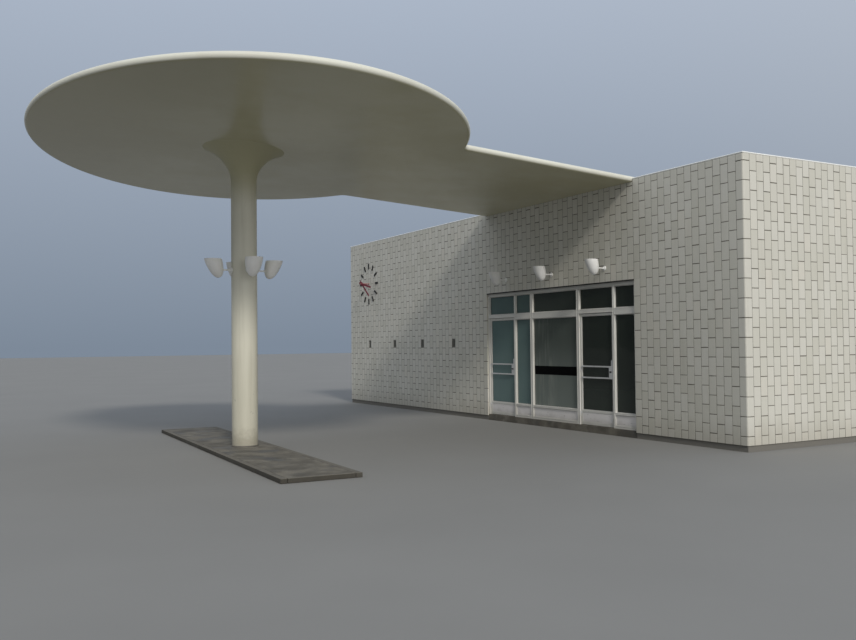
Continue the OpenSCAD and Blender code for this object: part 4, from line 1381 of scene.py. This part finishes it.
black_plastic = Finish("black_plastic")
rub = black_plastic.noise(30.0, 4.0)
black_plastic.dress(black_plastic.mix(rub, colour(16, 16, 17), colour(38, 38, 40)),
                    0.32 + rub * 0.2, rub, 0.0004)

# %% [markdown]
# Both doors are the same leaf in two places, so three functions make each of them. The first
# makes the CAD leaf with rounded edges and beads, its pane, its gasket and its kick sheet. Each
# piece rides on the door's body, so it swings with it.

# %% A door leaf
doors = ("left_door", "right_door")
print("Doors to dress:", *doors)


def door_leaf(body):
    glass_low, glass_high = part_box(body + "_glass")
    panel_low, panel_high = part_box(body + "_panel")
    leaf = softened(body + "_leaf", 0.0028, 2)
    border(leaf, glass_low, glass_high, 0.011, glass_low.y - 0.014, glass_low.y - 0.001, 0.003)
    border(leaf, glass_low, glass_high, 0.011, glass_high.y + 0.012, glass_high.y)
    border(leaf, panel_low, panel_high, 0.011, panel_low.y - 0.009, panel_low.y - 0.0043, 0.003)
    pane, gasket, sheet = bmesh.new(), bmesh.new(), bmesh.new()
    block(pane, glass_low, glass_high, 0.001, 1)
    border(gasket, glass_low, glass_high, 0.0145, glass_low.y - 0.0045, glass_low.y + 0.0002)
    field_panel(sheet, panel_low, panel_high, 0.004)
    piece(body + "_leaf_detail", leaf, frame_paint, body, [body + "_leaf"])
    piece(body + "_pane", pane, glass, body, [body + "_glass"])
    piece(body + "_gasket", gasket, rubber, body)
    piece(body + "_kick_sheet", sheet, panel_paint, body, [body + "_panel"])

# %% [markdown]
# The push rails are two flat bars on stand-off blocks. At their free ends they are let into the
# lock case, and the latch plate stands up from it. A keyhole rose and six screws sit on case and
# plate, and all of these are turned parts whose axis points out of the door.

# %% Push rails, lock case and latch plate
rail_h, case_w, latch_w, latch_h = 0.028, 0.115, 0.060, 0.105
keyhole_z, case_screw_z = 1.085, (1.19, 1.072)


def outwards(x, y, z):
    """The frame of a turned part that stands out of a door or wall."""
    return Matrix.Translation((x, y, z)) @ Matrix.Rotation(math.pi / 2, 4, "X")


def screw(bm, x, y, z, r=0.004):
    turned(bm, [(0, 0), (r, 0), (r, 0.0008), (r * 0.55, 0.0018), (0, 0.0020)],
           outwards(x, y, z), 12)


def push_rails(body):
    low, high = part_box(body + "_rails")
    knob_low, knob_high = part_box(body + "_knob")
    case_x, latch_x = high.x - case_w, high.x - latch_w
    low_z, high_z = low.z, high.z - latch_h
    front, back = low.y, high.y
    bm = bmesh.new()
    for z in (low_z, high_z - rail_h):
        block(bm, (low.x, front + 0.001, z), (case_x + 0.004, back - 0.007, z + rail_h), 0.005, 3)
        for x in (low.x + 0.012, case_x - 0.055):
            block(bm, (x, back - 0.009, z + 0.005), (x + 0.022, back, z + 0.023), 0.001, 1)
        block(bm, (case_x, front, z), (high.x, back, z + rail_h), 0.003, 2)
    block(bm, (case_x, front + 0.0012, low_z + 0.0285), (high.x, back, high_z - 0.0285), 0.003, 2)
    block(bm, (latch_x, front + 0.006, high_z - 0.002), (high.x, back, high.z), 0.003, 2)
    turned(bm, [(0, 0), (0.015, 0), (0.015, 0.0016), (0.012, 0.003), (0.0085, 0.003),
                (0.0085, 0.0012), (0, 0.0012)],
           outwards((knob_low.x + knob_high.x) / 2, front + 0.0012, keyhole_z), 24)
    for z in case_screw_z:
        for x in (case_x + 0.012, high.x - 0.012):
            screw(bm, x, front + 0.0013, z)
    for z in (high_z + 0.022, high.z - 0.014):
        screw(bm, (latch_x + high.x) / 2, front + 0.0061, z)
    piece(body + "_push_rails", bm, hardware, body, [body + "_rails"])


print("A lock case is", case_w, "m wide, and its keyhole is", keyhole_z, "m above the ground")

# %% [markdown]
# The knob is a short waisted drum, black like the slot of the keyhole, so the two are one piece.
# The hinges keep their CAD shape with rounded edges: a real knuckle is a plain cylinder too.

# %% Knobs and hinges
def door_knob(body):
    low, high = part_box(body + "_knob")
    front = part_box(body + "_rails")[0].y
    middle_x, knob_r, long = (low.x + high.x) / 2, (high.x - low.x) / 2, high.y - low.y
    bm = bmesh.new()
    block(bm, (middle_x - 0.0014, front - 0.0002, keyhole_z - 0.0065),
          (middle_x + 0.0014, front + 0.0006, keyhole_z + 0.0065), 0.0003, 1)
    turned(bm, [(0, 0), (0.014, 0), (0.014, 0.002), (0.010, 0.004), (0.010, 0.009), (0.013, 0.012),
                (knob_r - 0.001, 0.0145), (knob_r, 0.017), (knob_r, long - 0.006),
                (knob_r - 0.0015, long - 0.0025), (knob_r - 0.005, long - 0.0004), (0.005, long),
                (0, long)], outwards(middle_x, high.y, (low.z + high.z) / 2), 36)
    piece(body + "_turn_knob", bm, black_plastic, body, [body + "_knob"])


for body in doors:
    door_leaf(body)
    push_rails(body)
    door_knob(body)
    piece(body + "_knuckles", softened(body + "_hinges", 0.0006, 2), hardware, body,
          [body + "_hinges"])
piece("frame_knuckles", softened("frame_hinges", 0.0006, 2), hardware,
      stands_for=["frame_hinges"])

# %% [markdown]
# The clock has no dial: twelve bars are fixed straight on the tiles, and two red hands stand off
# the wall on a long sleeve. Bars and hands are enamelled steel, black and dark red. The red has
# faded unevenly in the sun, and most of all on the sleeve.

# %% Clock enamels
def clock_enamel(name, scale, dark, light, roughness):
    enamel = Finish(name)
    fade = enamel.noise(scale, 4.0)
    enamel.dress(enamel.mix(fade, dark, light), roughness + fade * 0.2, fade, 0.0005)
    return enamel


bar_black = clock_enamel("bar_black", 18.0, colour(12, 12, 13), colour(28, 28, 28), 0.5)
hand_red = clock_enamel("hand_red", 5.0, colour(104, 22, 40), colour(128, 38, 54), 0.45)
faded_red = clock_enamel("faded_red", 14.0, colour(128, 88, 88), colour(158, 120, 116), 0.55)

# %% [markdown]
# Bars, hands and sleeve keep their CAD shapes and get rounded edges, which catch the light. Each
# hand rides on its own body, so that it can turn.

# %% The clock
piece("clock_bars", softened("clock_marks", 0.0035, 3), bar_black,
      stands_for=["clock_marks"])
for hand in ("minute_hand", "hour_hand"):
    piece("clock_" + hand, softened(hand, 0.0016, 2), hand_red, hand, [hand])
piece("clock_sleeve", softened("clock_spindle", 0.0012, 2), faded_red,
      stands_for=["clock_spindle"])
marks_low, marks_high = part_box("clock_marks")
print("The clock measures", round(marks_high.x - marks_low.x, 3), "m across")
